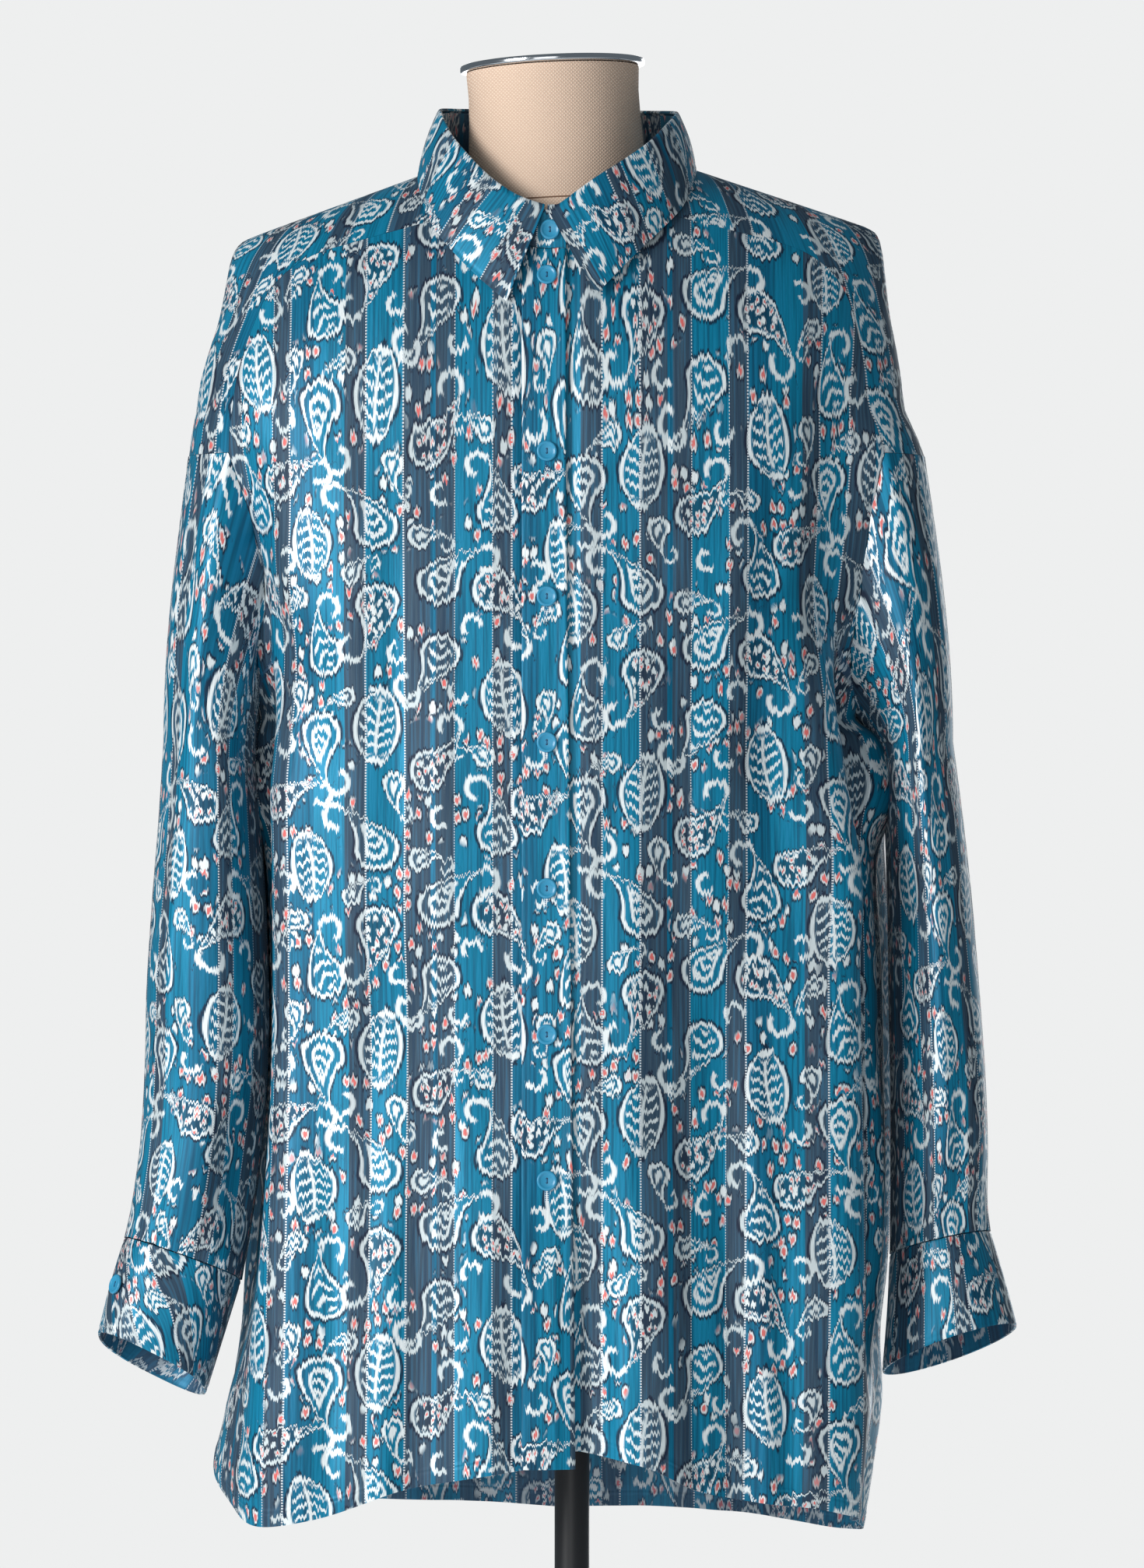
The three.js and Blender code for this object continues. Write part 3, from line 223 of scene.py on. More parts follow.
def body_point(face, along, level, lift=0.0):
    """Points of the cloth's outer face at signed distances from the middle line and levels."""
    along, level, lift = np.broadcast_arrays(
        np.asarray(along, float), np.asarray(level, float), np.asarray(lift, float))
    shape = along.shape
    along, level, lift = along.ravel(), level.ravel(), lift.ravel()
    points = np.empty((len(along), 3))
    for start in range(0, len(along), CHUNK):
        part = slice(start, start + CHUNK)
        points[part] = _body_point(face, along[part], level[part], lift[part])
    return points.reshape(shape + (3,))


def _body_point(face, along, level, lift):
    side = np.where(along < 0, -1.0, 1.0)
    across, deep, power, z, drop, turn = section(face, side, level)
    x, y, step, length = outline(across, deep, power)
    whole = length[:, -1]
    at = np.clip(np.abs(along), 0, whole)
    last = len(TURNS) - 2
    k = np.clip((length < at[:, None]).sum(1) - 1, 0, last)
    r = np.arange(len(at))
    t = (at - length[r, k]) / np.maximum(step[r, k], 1e-9)
    px = mix(x[r, k], x[r, k + 1], t)
    py = mix(y[r, k], y[r, k + 1], t)
    safe = np.maximum(step, 1e-9)
    nx, ny = -np.diff(y) / safe, np.diff(x) / safe
    other = np.clip(np.where(t < 0.5, k - 1, k + 1), 0, last)
    share = np.where(t < 0.5, 0.5 - t, t - 0.5)
    nx, ny = mix(nx[r, k], nx[r, other], share), mix(ny[r, k], ny[r, other], share)
    first = np.where(side < 0, SHOULDER[0, 1], SHOULDER[0, 2])
    height = np.where(level < 0, mix(ridge_height(side, px * first / across), ARM_Z, drop), z)
    out = lift + fold_height(face, side, np.abs(along), whole, height)
    flat = np.where(level < 0, np.sin(turn), 1.0)
    return np.stack([
        BODY_X + side * (px + nx * out * flat),
        face * (py + ny * out * flat),
        height + out * (1 - flat),
    ], 1)


def on_arch(side, x, y):
    """Where the arch of the shoulders lies over places in plan, for one face at a time."""
    x, y = np.atleast_1d(np.asarray(x, float)), np.atleast_1d(np.asarray(y, float))
    faces = np.where(y < 0, FRONT, BACK)
    deepest = np.where(y < 0, BODY[0, 3], BODY[0, 4])
    power = BODY[0, 5]
    column = 1 if side < 0 else 2
    low, high = np.full(len(x), 0.001), np.full(len(x), math.pi / 2)
    for _ in range(HALVINGS):
        turn = (low + high) / 2
        across = curve(SHOULDER, column, 1 - np.cos(turn))
        over = np.abs(x / across) ** power + np.abs(y / (deepest * np.sin(turn))) ** power > 1
        low, high = np.where(over, turn, low), np.where(over, high, turn)
    level = low / (math.pi / 2) - 1
    across = curve(SHOULDER, column, 1 - np.cos(low))
    xs, _, _, length = outline(across, deepest * np.sin(low), np.full(len(x), power))
    along = np.array([np.interp(abs(a), row, run) for a, row, run in zip(x, xs, length)])
    return faces, level, along, along / length[:, -1]


def on_neck(side, turn, grow=0.0):
    turn = np.atleast_1d(np.asarray(turn, float))
    x, y = NECK_WIDTH * np.sin(turn), -NECK_DEPTH * np.cos(turn)
    scale = 1 + grow / np.hypot(x, y)
    return on_arch(side, x * scale, NECK_Y + y * scale)


def armhole_share(face, side, level):
    """Share of the quarter at which the armhole's edge lies, at levels below its top."""
    level = np.atleast_1d(np.asarray(level, float))
    wanted = ARM_DEPTH * np.sqrt(np.clip(1 - (level / UNDERARM_DROP) ** 2, 0, 1))
    across, deep, power, *_ = section(face, side, level)
    _, ys, _, length = outline(across, deep, power)
    share = np.array([np.interp(-w, -row, run) / run[-1] for w, row, run in zip(wanted, ys, length)])
    return np.where(level >= UNDERARM_DROP, 1.0, share)


# Length of the arch of the shoulders, as the rows are spaced and as cloth
ARCH_LENGTH = 150
ARCH_CLOTH = 200
# The front seam of the yoke is fully out at the first share and starts to come down at the second
SEAM_OUT, SEAM_LEVEL = 0.7, 0.35
BACK_SEAM_LEVEL = -0.25


def to_down(level):
    return np.where(level < 0, level * ARCH_LENGTH, level)


def to_level(down):
    return np.where(down < 0, down / ARCH_LENGTH, down)


def front_seam(side, t):
    _, level, _, share = on_neck(side, NECK_CORNER)
    end = armhole_share(FRONT, side, 0)
    return (mix(share, end, np.sin(math.pi / 2 * np.minimum(1, t / SEAM_OUT))),
            level * np.cos(math.pi / 2 * np.clip((t - SEAM_LEVEL) / (1 - SEAM_LEVEL), 0, 1)))


def back_seam(side, t):
    return armhole_share(BACK, side, 0) * t, BACK_SEAM_LEVEL * (1 - t ** 3)


# Meshes

SHARP = math.radians(55)
# The 0 to 1 layout for baking: size of a face, its margin, the strips' corners and their width
BAKE_WIDE, BAKE_HIGH, BAKE_EDGE = 0.48, 0.94, 0.01
BAKE_STRIPS, STRIP_WIDE = [(0.01, 0.962), (0.01, 0.976), (0.51, 0.962), (0.51, 0.976)], 0.008


def grid_normals(points):
    across = np.gradient(points, axis=0)
    down = np.gradient(points, axis=1)
    normal = np.cross(across, down)
    return normal / np.maximum(np.linalg.norm(normal, axis=2, keepdims=True), 1e-9)


def make_mesh(name, verts, faces, uv=None, bake=None, inner=None):
    mesh = bpy.data.meshes.new(name)
    mesh.from_pydata([], [], [])
    faces = np.asarray(faces, np.int32)
    mesh.vertices.add(len(verts))
    mesh.vertices.foreach_set("co", (np.asarray(verts) * MM).astype(np.float32).ravel())
    mesh.loops.add(faces.size)
    mesh.loops.foreach_set("vertex_index", faces.ravel())
    mesh.polygons.add(len(faces))
    mesh.polygons.foreach_set("loop_start", np.arange(0, faces.size, 4, dtype=np.int32))
    mesh.update(calc_edges=True)
    if uv is not None:
        layer = mesh.uv_layers.new(name="cloth")
        layer.data.foreach_set("uv", (uv * MM).astype(np.float32).ravel())
    if bake is not None:
        layer = mesh.uv_layers.new(name="OFBake")
        layer.data.foreach_set("uv", bake.astype(np.float32).ravel())
    if inner is not None:
        mesh.polygons.foreach_set("material_index", inner.astype(np.int32))
    mesh.validate()
    mesh.polygons.foreach_set("use_smooth", np.ones(len(mesh.polygons), bool))
    mesh.set_sharp_from_angle(angle=SHARP)
    piece = bpy.data.objects.new(name, mesh)
    bpy.context.collection.objects.link(piece)
    return piece


def cloth_wall(name, points, uv, thick, centre):
    """A shell of cloth. Points are its outer face, as columns of rows. The centre is on its inner side."""
    columns, rows = points.shape[:2]
    normal = grid_normals(points)
    flip = np.sum(np.einsum("ijk,ijk->ij", normal, points - centre)) < 0
    if flip:
        normal = -normal
    verts = np.concatenate([points.reshape(-1, 3), (points - normal * thick).reshape(-1, 3)])
    n = columns * rows
    i, j = np.meshgrid(np.arange(columns - 1), np.arange(rows - 1), indexing="ij")
    a = (i * rows + j).ravel()
    outer = np.stack([a, a + rows, a + rows + 1, a + 1], 1)
    inner = np.stack([a, a + 1, a + rows + 1, a + rows], 1) + n
    ii, jj = np.arange(columns - 1) * rows, np.arange(rows - 1)
    end, side = rows - 1, (columns - 1) * rows
    rims = [
        np.stack([ii + n, ii + rows + n, ii + rows, ii], 1),
        np.stack([ii + end, ii + rows + end, ii + rows + end + n, ii + end + n], 1),
        np.stack([jj, jj + 1, jj + 1 + n, jj + n], 1),
        np.stack([jj + side + n, jj + 1 + side + n, jj + 1 + side, jj + side], 1),
    ]
    faces = np.concatenate([outer, inner, *rims])
    if flip:
        faces = faces[:, ::-1]
    flat_uv = np.concatenate([uv.reshape(-1, 2)] * 2)
    loop_uv = flat_uv[faces.ravel()]
    bake = bake_layout(columns, rows, faces, len(outer), rims)
    is_inner = np.zeros(len(faces), int)
    is_inner[len(outer):2 * len(outer)] = 1
    return make_mesh(name, verts, faces, loop_uv, bake, is_inner)


def bake_layout(columns, rows, faces, count, rims):
    """The outer face at the left, the inner face at the right, and the rims in strips above them."""
    n = columns * rows
    index = faces % n
    u, v = index // rows / (columns - 1), index % rows / (rows - 1)
    layout = np.stack([u * BAKE_WIDE + BAKE_EDGE, v * BAKE_HIGH + BAKE_EDGE], 2)
    layout[count:2 * count, :, 0] += 0.5
    start = 2 * count
    for (left, bottom), rim, way in zip(BAKE_STRIPS, rims, (u, u, v, v)):
        part = slice(start, start + len(rim))
        layout[part, :, 0] = left + way[part] * BAKE_WIDE
        layout[part, :, 1] = bottom + (faces[part] >= n) * STRIP_WIDE
        start += len(rim)
    return layout.reshape(-1, 2)


def revolve(name, profile, sides=64, scale_y=1.0):
    """A turned solid about +Z. The profile is (radius, height) pairs that start and end on the axis."""
    profile = np.array(profile, float)
    angle = np.linspace(0, 2 * math.pi, sides, endpoint=False)
    ring = np.stack([np.cos(angle), np.sin(angle) * scale_y], 1)
    verts = np.array([(r * c, r * s, z) for r, z in profile for c, s in ring])
    faces = []
    for row in range(len(profile) - 1):
        for k in range(sides):
            a, b = row * sides + k, row * sides + (k + 1) % sides
            faces.append((a, b, b + sides, a + sides))
    return make_mesh(name, verts, faces)


def translation(offset):
    return Matrix.Translation(Vector(offset) * MM)


def move(piece, origin, outward=None, tilt=0.0):
    """Puts the piece's own +Z along outward and its own zero at origin."""
    turn = Matrix.Identity(4)
    if outward is not None:
        turn = Vector(outward).to_track_quat("Z", "Y").to_matrix().to_4x4()
    if tilt:
        turn = Matrix.Rotation(tilt, 4, "Y")
    piece.data.transform(translation(origin) @ turn)
    return piece


# Materials


def linear(red, green, blue):
    """A colour as the screen shows it, 0 to 255, as linear light."""
    parts = [c / 255 for c in (red, green, blue)]
    return tuple(c / 12.92 if c <= 0.04045 else ((c + 0.055) / 1.055) ** 2.4 for c in parts) + (1.0,)


def new_node(tree, kind, **settings):
    node = tree.nodes.new(f"ShaderNode{kind}")
    for key, value in settings.items():
        setattr(node, key, value)
    return node


class Wire:
    """A socket or a number in a node tree, with arithmetic."""

    def __init__(self, tree, value):
        self.tree, self.value = tree, value

    def do(self, operation, *others, clamp=False):
        node = new_node(self.tree, "Math", operation=operation, use_clamp=clamp)
        for socket, item in zip(node.inputs, (self, *others)):
            plug(self.tree, socket, item)
        return Wire(self.tree, node.outputs[0])

    def __add__(self, other):
        return self.do("ADD", other)

    def __sub__(self, other):
        return self.do("SUBTRACT", other)

    def __mul__(self, other):
        return self.do("MULTIPLY", other)

    def __truediv__(self, other):
        return self.do("DIVIDE", other)

    def fma(self, factor, term):
        return self.do("MULTIPLY_ADD", factor, term)

    def absolute(self):
        return self.do("ABSOLUTE")

    def most(self, other):
        return self.do("MAXIMUM", other)

    def least(self, other):
        return self.do("MINIMUM", other)

    def above(self, edge, soft):
        """0 below the edge, 1 above it, with a soft step."""
        return self.fma(1 / soft, 0.5 - edge / soft).do("ADD", 0.0, clamp=True)

    def below(self, edge, soft):
        return self.fma(-1 / soft, 0.5 + edge / soft).do("ADD", 0.0, clamp=True)

    def near(self, middle, half, soft):
        """1 within half of the middle, with soft steps on both sides."""
        return (self - middle).absolute().below(half, soft)


def plug(tree, socket, item):
    value = item.value if isinstance(item, Wire) else item
    if isinstance(value, bpy.types.NodeSocket):
        tree.links.new(value, socket)
    else:
        socket.default_value = value


def vector_node(tree, operation, *items):
    node = new_node(tree, "VectorMath", operation=operation)
    for socket, item in zip(node.inputs, items):
        plug(tree, socket, item)
    return node


def combine(tree, *items):
    node = new_node(tree, "CombineXYZ")
    for socket, item in zip(node.inputs, items):
        plug(tree, socket, item)
    return node.outputs[0]


REPEAT_U, REPEAT_V = 0.148, 0.186

# Motifs of one repeat: kind, middle across and down, radius of the round end, turn in degrees, tail's bend
MOTIFS = [
    ("leaf", 18, 26, 13.5, 6, 0.05), ("dots", 20, 88, 12.8, 172, 0.24), ("inner", 16, 150, 13, -14, -0.24),
    ("dots", 56, 4, 12.2, 66, -0.24), ("ribs", 54, 60, 12.2, 190, 0.22), ("inner", 58, 117, 13.2, 24, 0.24),
    ("leaf", 92, 42, 13.2, -8, 0.08), ("dots", 94, 102, 12.8, 112, 0.24), ("ribs", 91, 158, 12.4, 16, -0.24),
    ("inner", 130, 14, 12.8, 198, -0.24), ("ribs", 131, 74, 12.2, -32, 0.22),
    ("leaf", 128, 132, 12.2, 174, 0.08), ("dots", 112, 174, 11.5, 40, 0.24), ("seed", 47, 138, 7, 60, 0.3),
    ("seed", 26, 174, 7, 200, -0.3), ("seed", 79, 12, 6.2, -40, -0.3), ("seed", 119, 44, 6.2, 150, 0.3),
    ("seed", 116, 99, 6, 250, -0.3), ("seed", 5, 118, 6, 20, 0.3), ("seed", 145, 44, 5.8, -80, -0.3),
]
# Open curls between them: place across and down, size, turn in degrees. Their line's radius, half width and
# room are shares of that size
CURL_RADIUS, CURL_HALF, CURL_ROOM = 0.75, 0.19, 1.1
CURLS = [
    (37, 44, 7.5, 30), (74, 84, 7, 200), (112, 122, 7.5, -60), (56, 160, 7, 120), (111, 16, 7, 10),
    (30, 69, 7, 100), (66, 46, 6.5, 70),
]
# A drop, in its own radii: how far its middle is set down, the end of its tail, the radius of the hook on it,
# the direction of the hook's middle, half the hook's width and the room that it takes
DROP_DOWN, TAIL_END, HOOK, HOOK_MIDDLE, HOOK_HALF, HOOK_ROOM = 0.62, 2.15, 0.52, math.radians(-25), 0.12, 1.45
# Softness and openness of an arc
ARC_SOFT, ARC_OPEN, ARC_END_SOFT = 0.07, -0.42, 0.1
# Lines of a motif by their distance from its middle: place, half width and softness
PALE_LINE, DARK_LINE = (0.88, 0.088, 0.05), (1.05, 0.065, 0.05)
SEED_LINE, INNER_LINE, RIB_LINE = (0.8, 0.17, 0.08), (0.42, 0.07, 0.05), (0.06, 0.06)
# Fillings of a motif: where they end and their softness
SPECKLES, SEED_HEART = (0.7, 0.06), (0.3, 0.1)


def local(tree, at, across, down, radius, turn):
    """Coordinates about a motif's place, in radii, repeated over the cloth."""
    off = vector_node(tree, "SUBTRACT", at, (across * MM, down * MM, 0))
    half = (REPEAT_U / 2, REPEAT_V / 2, 1)
    wrapped = vector_node(tree, "WRAP", off.outputs[0], half, tuple(-h for h in half))
    turned = new_node(tree, "VectorRotate", rotation_type="Z_AXIS")
    turned.inputs["Angle"].default_value = math.radians(turn)
    tree.links.new(wrapped.outputs[0], turned.inputs["Vector"])
    scaled = vector_node(tree, "SCALE", turned.outputs[0])
    scaled.inputs["Scale"].default_value = 1 / (radius * MM)
    return scaled.outputs[0]


def split(tree, vector):
    apart = new_node(tree, "SeparateXYZ")
    tree.links.new(vector, apart.inputs[0])
    return Wire(tree, apart.outputs[0]), Wire(tree, apart.outputs[1])


def arc(tree, at, centre, radius, middle, half):
    """A pale arc about a centre, open on the side away from its middle direction, and the distance to it."""
    off = vector_node(tree, "SUBTRACT", at, (*centre, 0)).outputs[0]
    size = Wire(tree, vector_node(tree, "LENGTH", off).outputs["Value"])
    along = Wire(tree, vector_node(tree, "DOT_PRODUCT", off, (*middle, 0)).outputs["Value"])
    return size.near(radius, half, ARC_SOFT) * along.above(ARC_OPEN * radius, ARC_END_SOFT), size


def drop_shape(tree, x, y, bend):
    """Distance in a drop with a bent tail, 0 in its middle and 1 on its edge, and the place across it."""
    tail = y.most(0.0)
    bent = (tail * tail).fma(-bend, x)
    across = bent / tail.fma(-0.43, 1.0).most(0.06)
    size = vector_node(tree, "LENGTH", combine(tree, across, y.least(0.0), tail * 0.4))
    return Wire(tree, size.outputs["Value"]), bent


def leaf_shape(x, y, bend):
    bent = (y * y).fma(-bend, x)
    far = (y * 0.58).absolute()
    across = bent / (far * far).fma(-0.85, 1.0).most(0.08)
    return across.absolute().most(far), bent


# Veins of a motif: slant, pitch, edge of the wave at which they start and the distance at which they end
VEINS = {"leaf": (-0.55, 12.5, 0.55, (0.7, 0.08)), "ribs": (0.7, 10.5, 0.45, (0.6, 0.08)),
         "inner": (-0.6, 13.0, 0.35, (0.36, 0.05))}
VEIN_SOFT = 0.45


def motif(tree, at, kind, across, down, radius, turn, bend):
    """Masks of one motif: its pale lines, dark lines and speckled inside, and the room that it takes."""
    here = local(tree, at, across, down, radius, turn)
    if kind != "leaf":
        here = vector_node(tree, "ADD", here, (0, DROP_DOWN, 0)).outputs[0]
    x, y = split(tree, here)
    size, bent = leaf_shape(x, y, bend) if kind == "leaf" else drop_shape(tree, x, y, bend)
    pale, dark = size.near(*PALE_LINE), size.near(*DARK_LINE)
    speckled = size.below(*SPECKLES) if kind == "dots" else None
    if kind == "seed":
        pale = size.near(*SEED_LINE).most(size.below(*SEED_HEART))
    elif kind == "inner":
        pale = pale.most(size.near(*INNER_LINE))
    if kind in VEINS:
        slant, pitch, edge, end = VEINS[kind]
        veins = bent.absolute().fma(slant, y).fma(pitch, 0.0).do("SINE").above(edge, VEIN_SOFT)
        if kind == "leaf":
            veins = veins.most(bent.absolute().below(*RIB_LINE))
        pale = pale.most(veins * size.below(*end))
    if kind != "leaf":
        side = math.copysign(1, bend)
        lean = math.atan2(1, 2 * abs(bend) * TAIL_END)
        tip = (bend * TAIL_END ** 2, TAIL_END)
        centre = (tip[0] + side * HOOK * math.sin(lean), tip[1] - HOOK * math.cos(lean))
        middle = lean + HOOK_MIDDLE
        hook, away = arc(tree, here, centre, HOOK, (side * math.cos(middle), math.sin(middle)), HOOK_HALF)
        pale, size = pale.most(hook), size.least(away * HOOK_ROOM)
    return pale, dark, speckled, size


def curl(tree, at, across, down, radius, turn):
    here = local(tree, at, across, down, radius, turn)
    line, away = arc(tree, here, (0, 0), CURL_RADIUS, (0.7, -0.7), CURL_HALF)
    return line, away * CURL_ROOM


# Stripes of one repeat: start across, in millimetres, and the colour's name
STRIPES = [
    (0, "slate"), (12, "teal"), (34, "slate"), (50, "deep"), (53, "slate"), (64, "teal"), (86, "slate"),
    (97, "deep"), (112, "teal"),
]
STRIPE_REPEAT = 131
TINTS = {"slate": linear(58, 80, 97), "teal": linear(0, 129, 164), "deep": linear(0, 108, 142)}
PALE = linear(244, 250, 250)
PALE_ON_SLATE = linear(208, 218, 220)
CORAL = linear(230, 74, 64)
INK = linear(20, 28, 52)
SILVER = linear(214, 220, 224)
SILVER_AT, SILVER_HALF = (12, 34, 64, 86, 97), 0.35
THREAD_DARK, THREAD_LIGHT = linear(8, 52, 84), linear(40, 146, 196)
BLACK_MASK, WHITE_MASK = (0, 0, 0, 1), (1, 1, 1, 1)
# The slate stripes are matte, and the others have the satin's shine
MATTE = {"slate": WHITE_MASK, "teal": BLACK_MASK, "deep": BLACK_MASK}
# Bundles of threads and stitches of silver thread in a metre, and the cells of the large and the small buds
BUNDLES, DASHES, BUD_CELLS, SMALL_CELLS = 1500, 620, (150, 92), (250, 175)
# Edge and softness of a bud, of its heart and of the dark ring round it, and of the room that it needs
BUD, HEART, BUD_RING, BUD_ROOM = (0.3, 0.08), (0.19, 0.07), (0.37, 0.07, 0.06), (1.28, 0.1)
SMALL_BUD, SMALL_HEART = (0.36, 0.08), (0.17, 0.08)
# How much of each colour covers what is below it
INSIDE_INK, LINE_INK, LINE_PALE, HEART_CORAL = 0.55, 0.88, 0.96, 0.85


def ramp(tree, factor, stops):
    """Steps of colour, each from its place to the next."""
    node = new_node(tree, "ValToRGB")
    plug(tree, node.inputs[0], factor)
    node.color_ramp.interpolation = "CONSTANT"
    elements = node.color_ramp.elements
    while len(elements) > 1:
        elements.remove(elements[-1])
    elements[0].position, elements[0].color = stops[0]
    for place, colour in stops[1:]:
        elements.new(place).color = colour
    return Wire(tree, node.outputs[0])


def noise(tree, u, v, scale_u, scale_v, detail=0.0):
    node = new_node(tree, "TexNoise", noise_dimensions="2D")
    node.inputs["Scale"].default_value = 1.0
    node.inputs["Detail"].default_value = detail
    tree.links.new(combine(tree, u * scale_u, v * scale_v), node.inputs["Vector"])
    return Wire(tree, node.outputs[0])


def blend(tree, below, above, mask):
    """The colour above laid over the colour below. The colour sockets of the node are 6, 7 and 2."""
    node = new_node(tree, "Mix", data_type="RGBA")
    for socket, item in ((0, mask), (6, below), (7, above)):
        plug(tree, node.inputs[socket], item)
    return Wire(tree, node.outputs[2])


def cells(tree, at, scale):
    """Scattered spots: the distance from each spot's middle and two random numbers for it."""
    node = new_node(tree, "TexVoronoi", voronoi_dimensions="2D")
    node.inputs["Scale"].default_value = 1.0
    node.inputs["Randomness"].default_value = 0.85
    tree.links.new(vector_node(tree, "MULTIPLY", at, (*scale, 0)).outputs[0], node.inputs["Vector"])
    random = new_node(tree, "SeparateColor")
    tree.links.new(node.outputs["Color"], random.inputs[0])
    return [Wire(tree, socket) for socket in (node.outputs["Distance"], random.outputs[0], random.outputs[1])]


def either(first, second):
    return second if first is None else first.most(second)


def cloth_map(tree):
    node = new_node(tree, "UVMap", uv_map="cloth")
    return split(tree, node.outputs[0])


def print_group():
    """The print from the cloth's map in metres: stripes along the warp with feathered motifs on them."""
    tree = bpy.data.node_groups.new("printed_cloth", "ShaderNodeTree")
    tree.interface.new_socket("Color", in_out="OUTPUT", socket_type="NodeSocketColor")
    tree.interface.new_socket("Matte", in_out="OUTPUT", socket_type="NodeSocketFloat")
    u, v = cloth_map(tree)

    # Each bundle of threads slips along the warp, which feathers the motifs' ends
    slip = noise(tree, u, v, 1100, 40).fma(0.005, -0.0025)
    slip = noise(tree, u, v, 330, 30).fma(0.0036, slip - 0.0018)
    at = combine(tree, (u * BUNDLES).do("FLOOR") * (1 / BUNDLES), v + slip)

    # Stripes, with fine threads in them
    stripe = (u * (1000 / STRIPE_REPEAT)).do("FRACT")
    colour = ramp(tree, stripe, [(start / STRIPE_REPEAT, TINTS[name]) for start, name in STRIPES])
    matte = ramp(tree, stripe, [(start / STRIPE_REPEAT, MATTE[name]) for start, name in STRIPES])
    thread = noise(tree, u, v, 620, 14, detail=1.0)
    colour = blend(tree, colour, THREAD_DARK, thread.above(0.58, 0.25) * 0.5)
    colour = blend(tree, colour, THREAD_LIGHT, thread.below(0.4, 0.2) * 0.2)

    pale, dark, speckled, room = None, None, None, None
    for row in MOTIFS:
        lines, shade, inside, size = motif(tree, at, *row)
        pale, dark = either(pale, lines), either(dark, shade)
        if inside is not None:
            speckled = either(speckled, inside)
        room = size if room is None else room.least(size)
    for row in CURLS:
        line, size = curl(tree, at, *row)
        pale, room = pale.most(line), room.least(size)

    # Buds with a coral heart, in the gaps between the motifs and, smaller, inside some of them
    far, one, two = cells(tree, at, BUD_CELLS)
    clear = room.above(*BUD_ROOM) * one.above(0.3, 0.02) * noise(tree, u, v, 26, 20).above(0.4, 0.05)
    bud, ring = far.below(*BUD) * clear, far.near(*BUD_RING) * clear
    heart = far.below(*HEART) * clear * two.above(0.35, 0.02)
    small, chance, _ = cells(tree, at, SMALL_CELLS)
    bud = bud.most(small.below(*SMALL_BUD) * speckled)
    heart = heart.most(small.below(*SMALL_HEART) * speckled * chance.above(0.45, 0.02))

    colour = blend(tree, colour, INK, speckled * INSIDE_INK)
    colour = blend(tree, colour, INK, dark.most(ring) * LINE_INK)
    colour = blend(tree, colour, blend(tree, PALE, PALE_ON_SLATE, matte), pale.most(bud) * LINE_PALE)
    colour = blend(tree, colour, CORAL, heart * HEART_CORAL)

    # Silver thread in short stitches along some stripes
    line = ramp(tree, stripe, silver_stops())
    dash = (v * DASHES).do("FRACT").below(0.55, 0.1)
    colour = blend(tree, colour, SILVER, line * dash)
    out = tree.nodes.new("NodeGroupOutput")
    plug(tree, out.inputs[0], colour)
    plug(tree, out.inputs[1], matte)
    return tree


def silver_stops():
    stops = [(0.0, BLACK_MASK)]
    for start in SILVER_AT:
        stops += [((start - SILVER_HALF) / STRIPE_REPEAT, WHITE_MASK),
                  ((start + SILVER_HALF) / STRIPE_REPEAT, BLACK_MASK)]
    return stops


def plain_material(name, colour, roughness, metallic=0.0, **more):
    material = bpy.data.materials.new(name)
    material.use_nodes = True
    shader = material.node_tree.nodes["Principled BSDF"]
    shader.inputs["Base Color"].default_value = colour
    shader.inputs["Roughness"].default_value = roughness
    shader.inputs["Metallic"].default_value = metallic
    for key, value in more.items():
        shader.inputs[key.replace("_", " ")].default_value = value
    return material


def add_bump(tree, height, strength, distance):
    bump = new_node(tree, "Bump")
    bump.inputs["Strength"].default_value = strength
    bump.inputs["Distance"].default_value = distance
    plug(tree, bump.inputs["Height"], height)
    tree.links.new(bump.outputs[0], tree.nodes["Principled BSDF"].inputs["Normal"])


# Satin shines in the colour of its own threads, and is rougher where its stripe is matte
SATIN_SHINE, SATIN_ROUGH, MORE_ROUGH = 0.2, 0.46, 0.12
FADED = linear(70, 110, 145)


def cloth_material(name, group, fade):
    material = plain_material(name, (0.1, 0.3, 0.5, 1), 0.42, SATIN_SHINE, Specular_IOR_Level=0.3,
                              Sheen_Weight=0.03, Sheen_Roughness=0.4)
    tree = material.node_tree
    shader = tree.nodes["Principled BSDF"]
    made = new_node(tree, "Group", node_tree=group)
    colour = Wire(tree, made.outputs[0])
    if fade:
        colour = blend(tree, colour, FADED, fade)
    plug(tree, shader.inputs["Base Color"], colour)
    plug(tree, shader.inputs["Roughness"], Wire(tree, made.outputs[1]).fma(MORE_ROUGH, SATIN_ROUGH))
    u, v = cloth_map(tree)
    height = noise(tree, u, v, 55, 9, detail=2.0)
    fine = noise(tree, u, v, 900, 120)
    add_bump(tree, fine.fma(0.12, height), 0.55, 0.0012)
    return material


def linen_material():
    material = plain_material("linen", linear(226, 198, 172), 0.9)
    tree = material.node_tree
    turned = new_node(tree, "Mapping")
    turned.inputs["Rotation"].default_value = (0, math.radians(45), 0)
    tree.links.new(new_node(tree, "TexCoord").outputs["Object"], turned.inputs[0])
    waves = []
    for direction in ("X", "Z"):
        wave = new_node(tree, "TexWave", bands_direction=direction)
        wave.inputs["Scale"].default_value = 210
        wave.inputs["Distortion"].default_value = 1.2
        tree.links.new(turned.outputs[0], wave.inputs[0])
        waves.append(Wire(tree, wave.outputs[1]))
    weave = waves[0] * waves[1]
    colour = blend(tree, linear(222, 190, 166), linear(250, 228, 206), weave)
    plug(tree, tree.nodes["Principled BSDF"].inputs["Base Color"], colour)
    add_bump(tree, weave, 0.4, 0.0006)
    return material


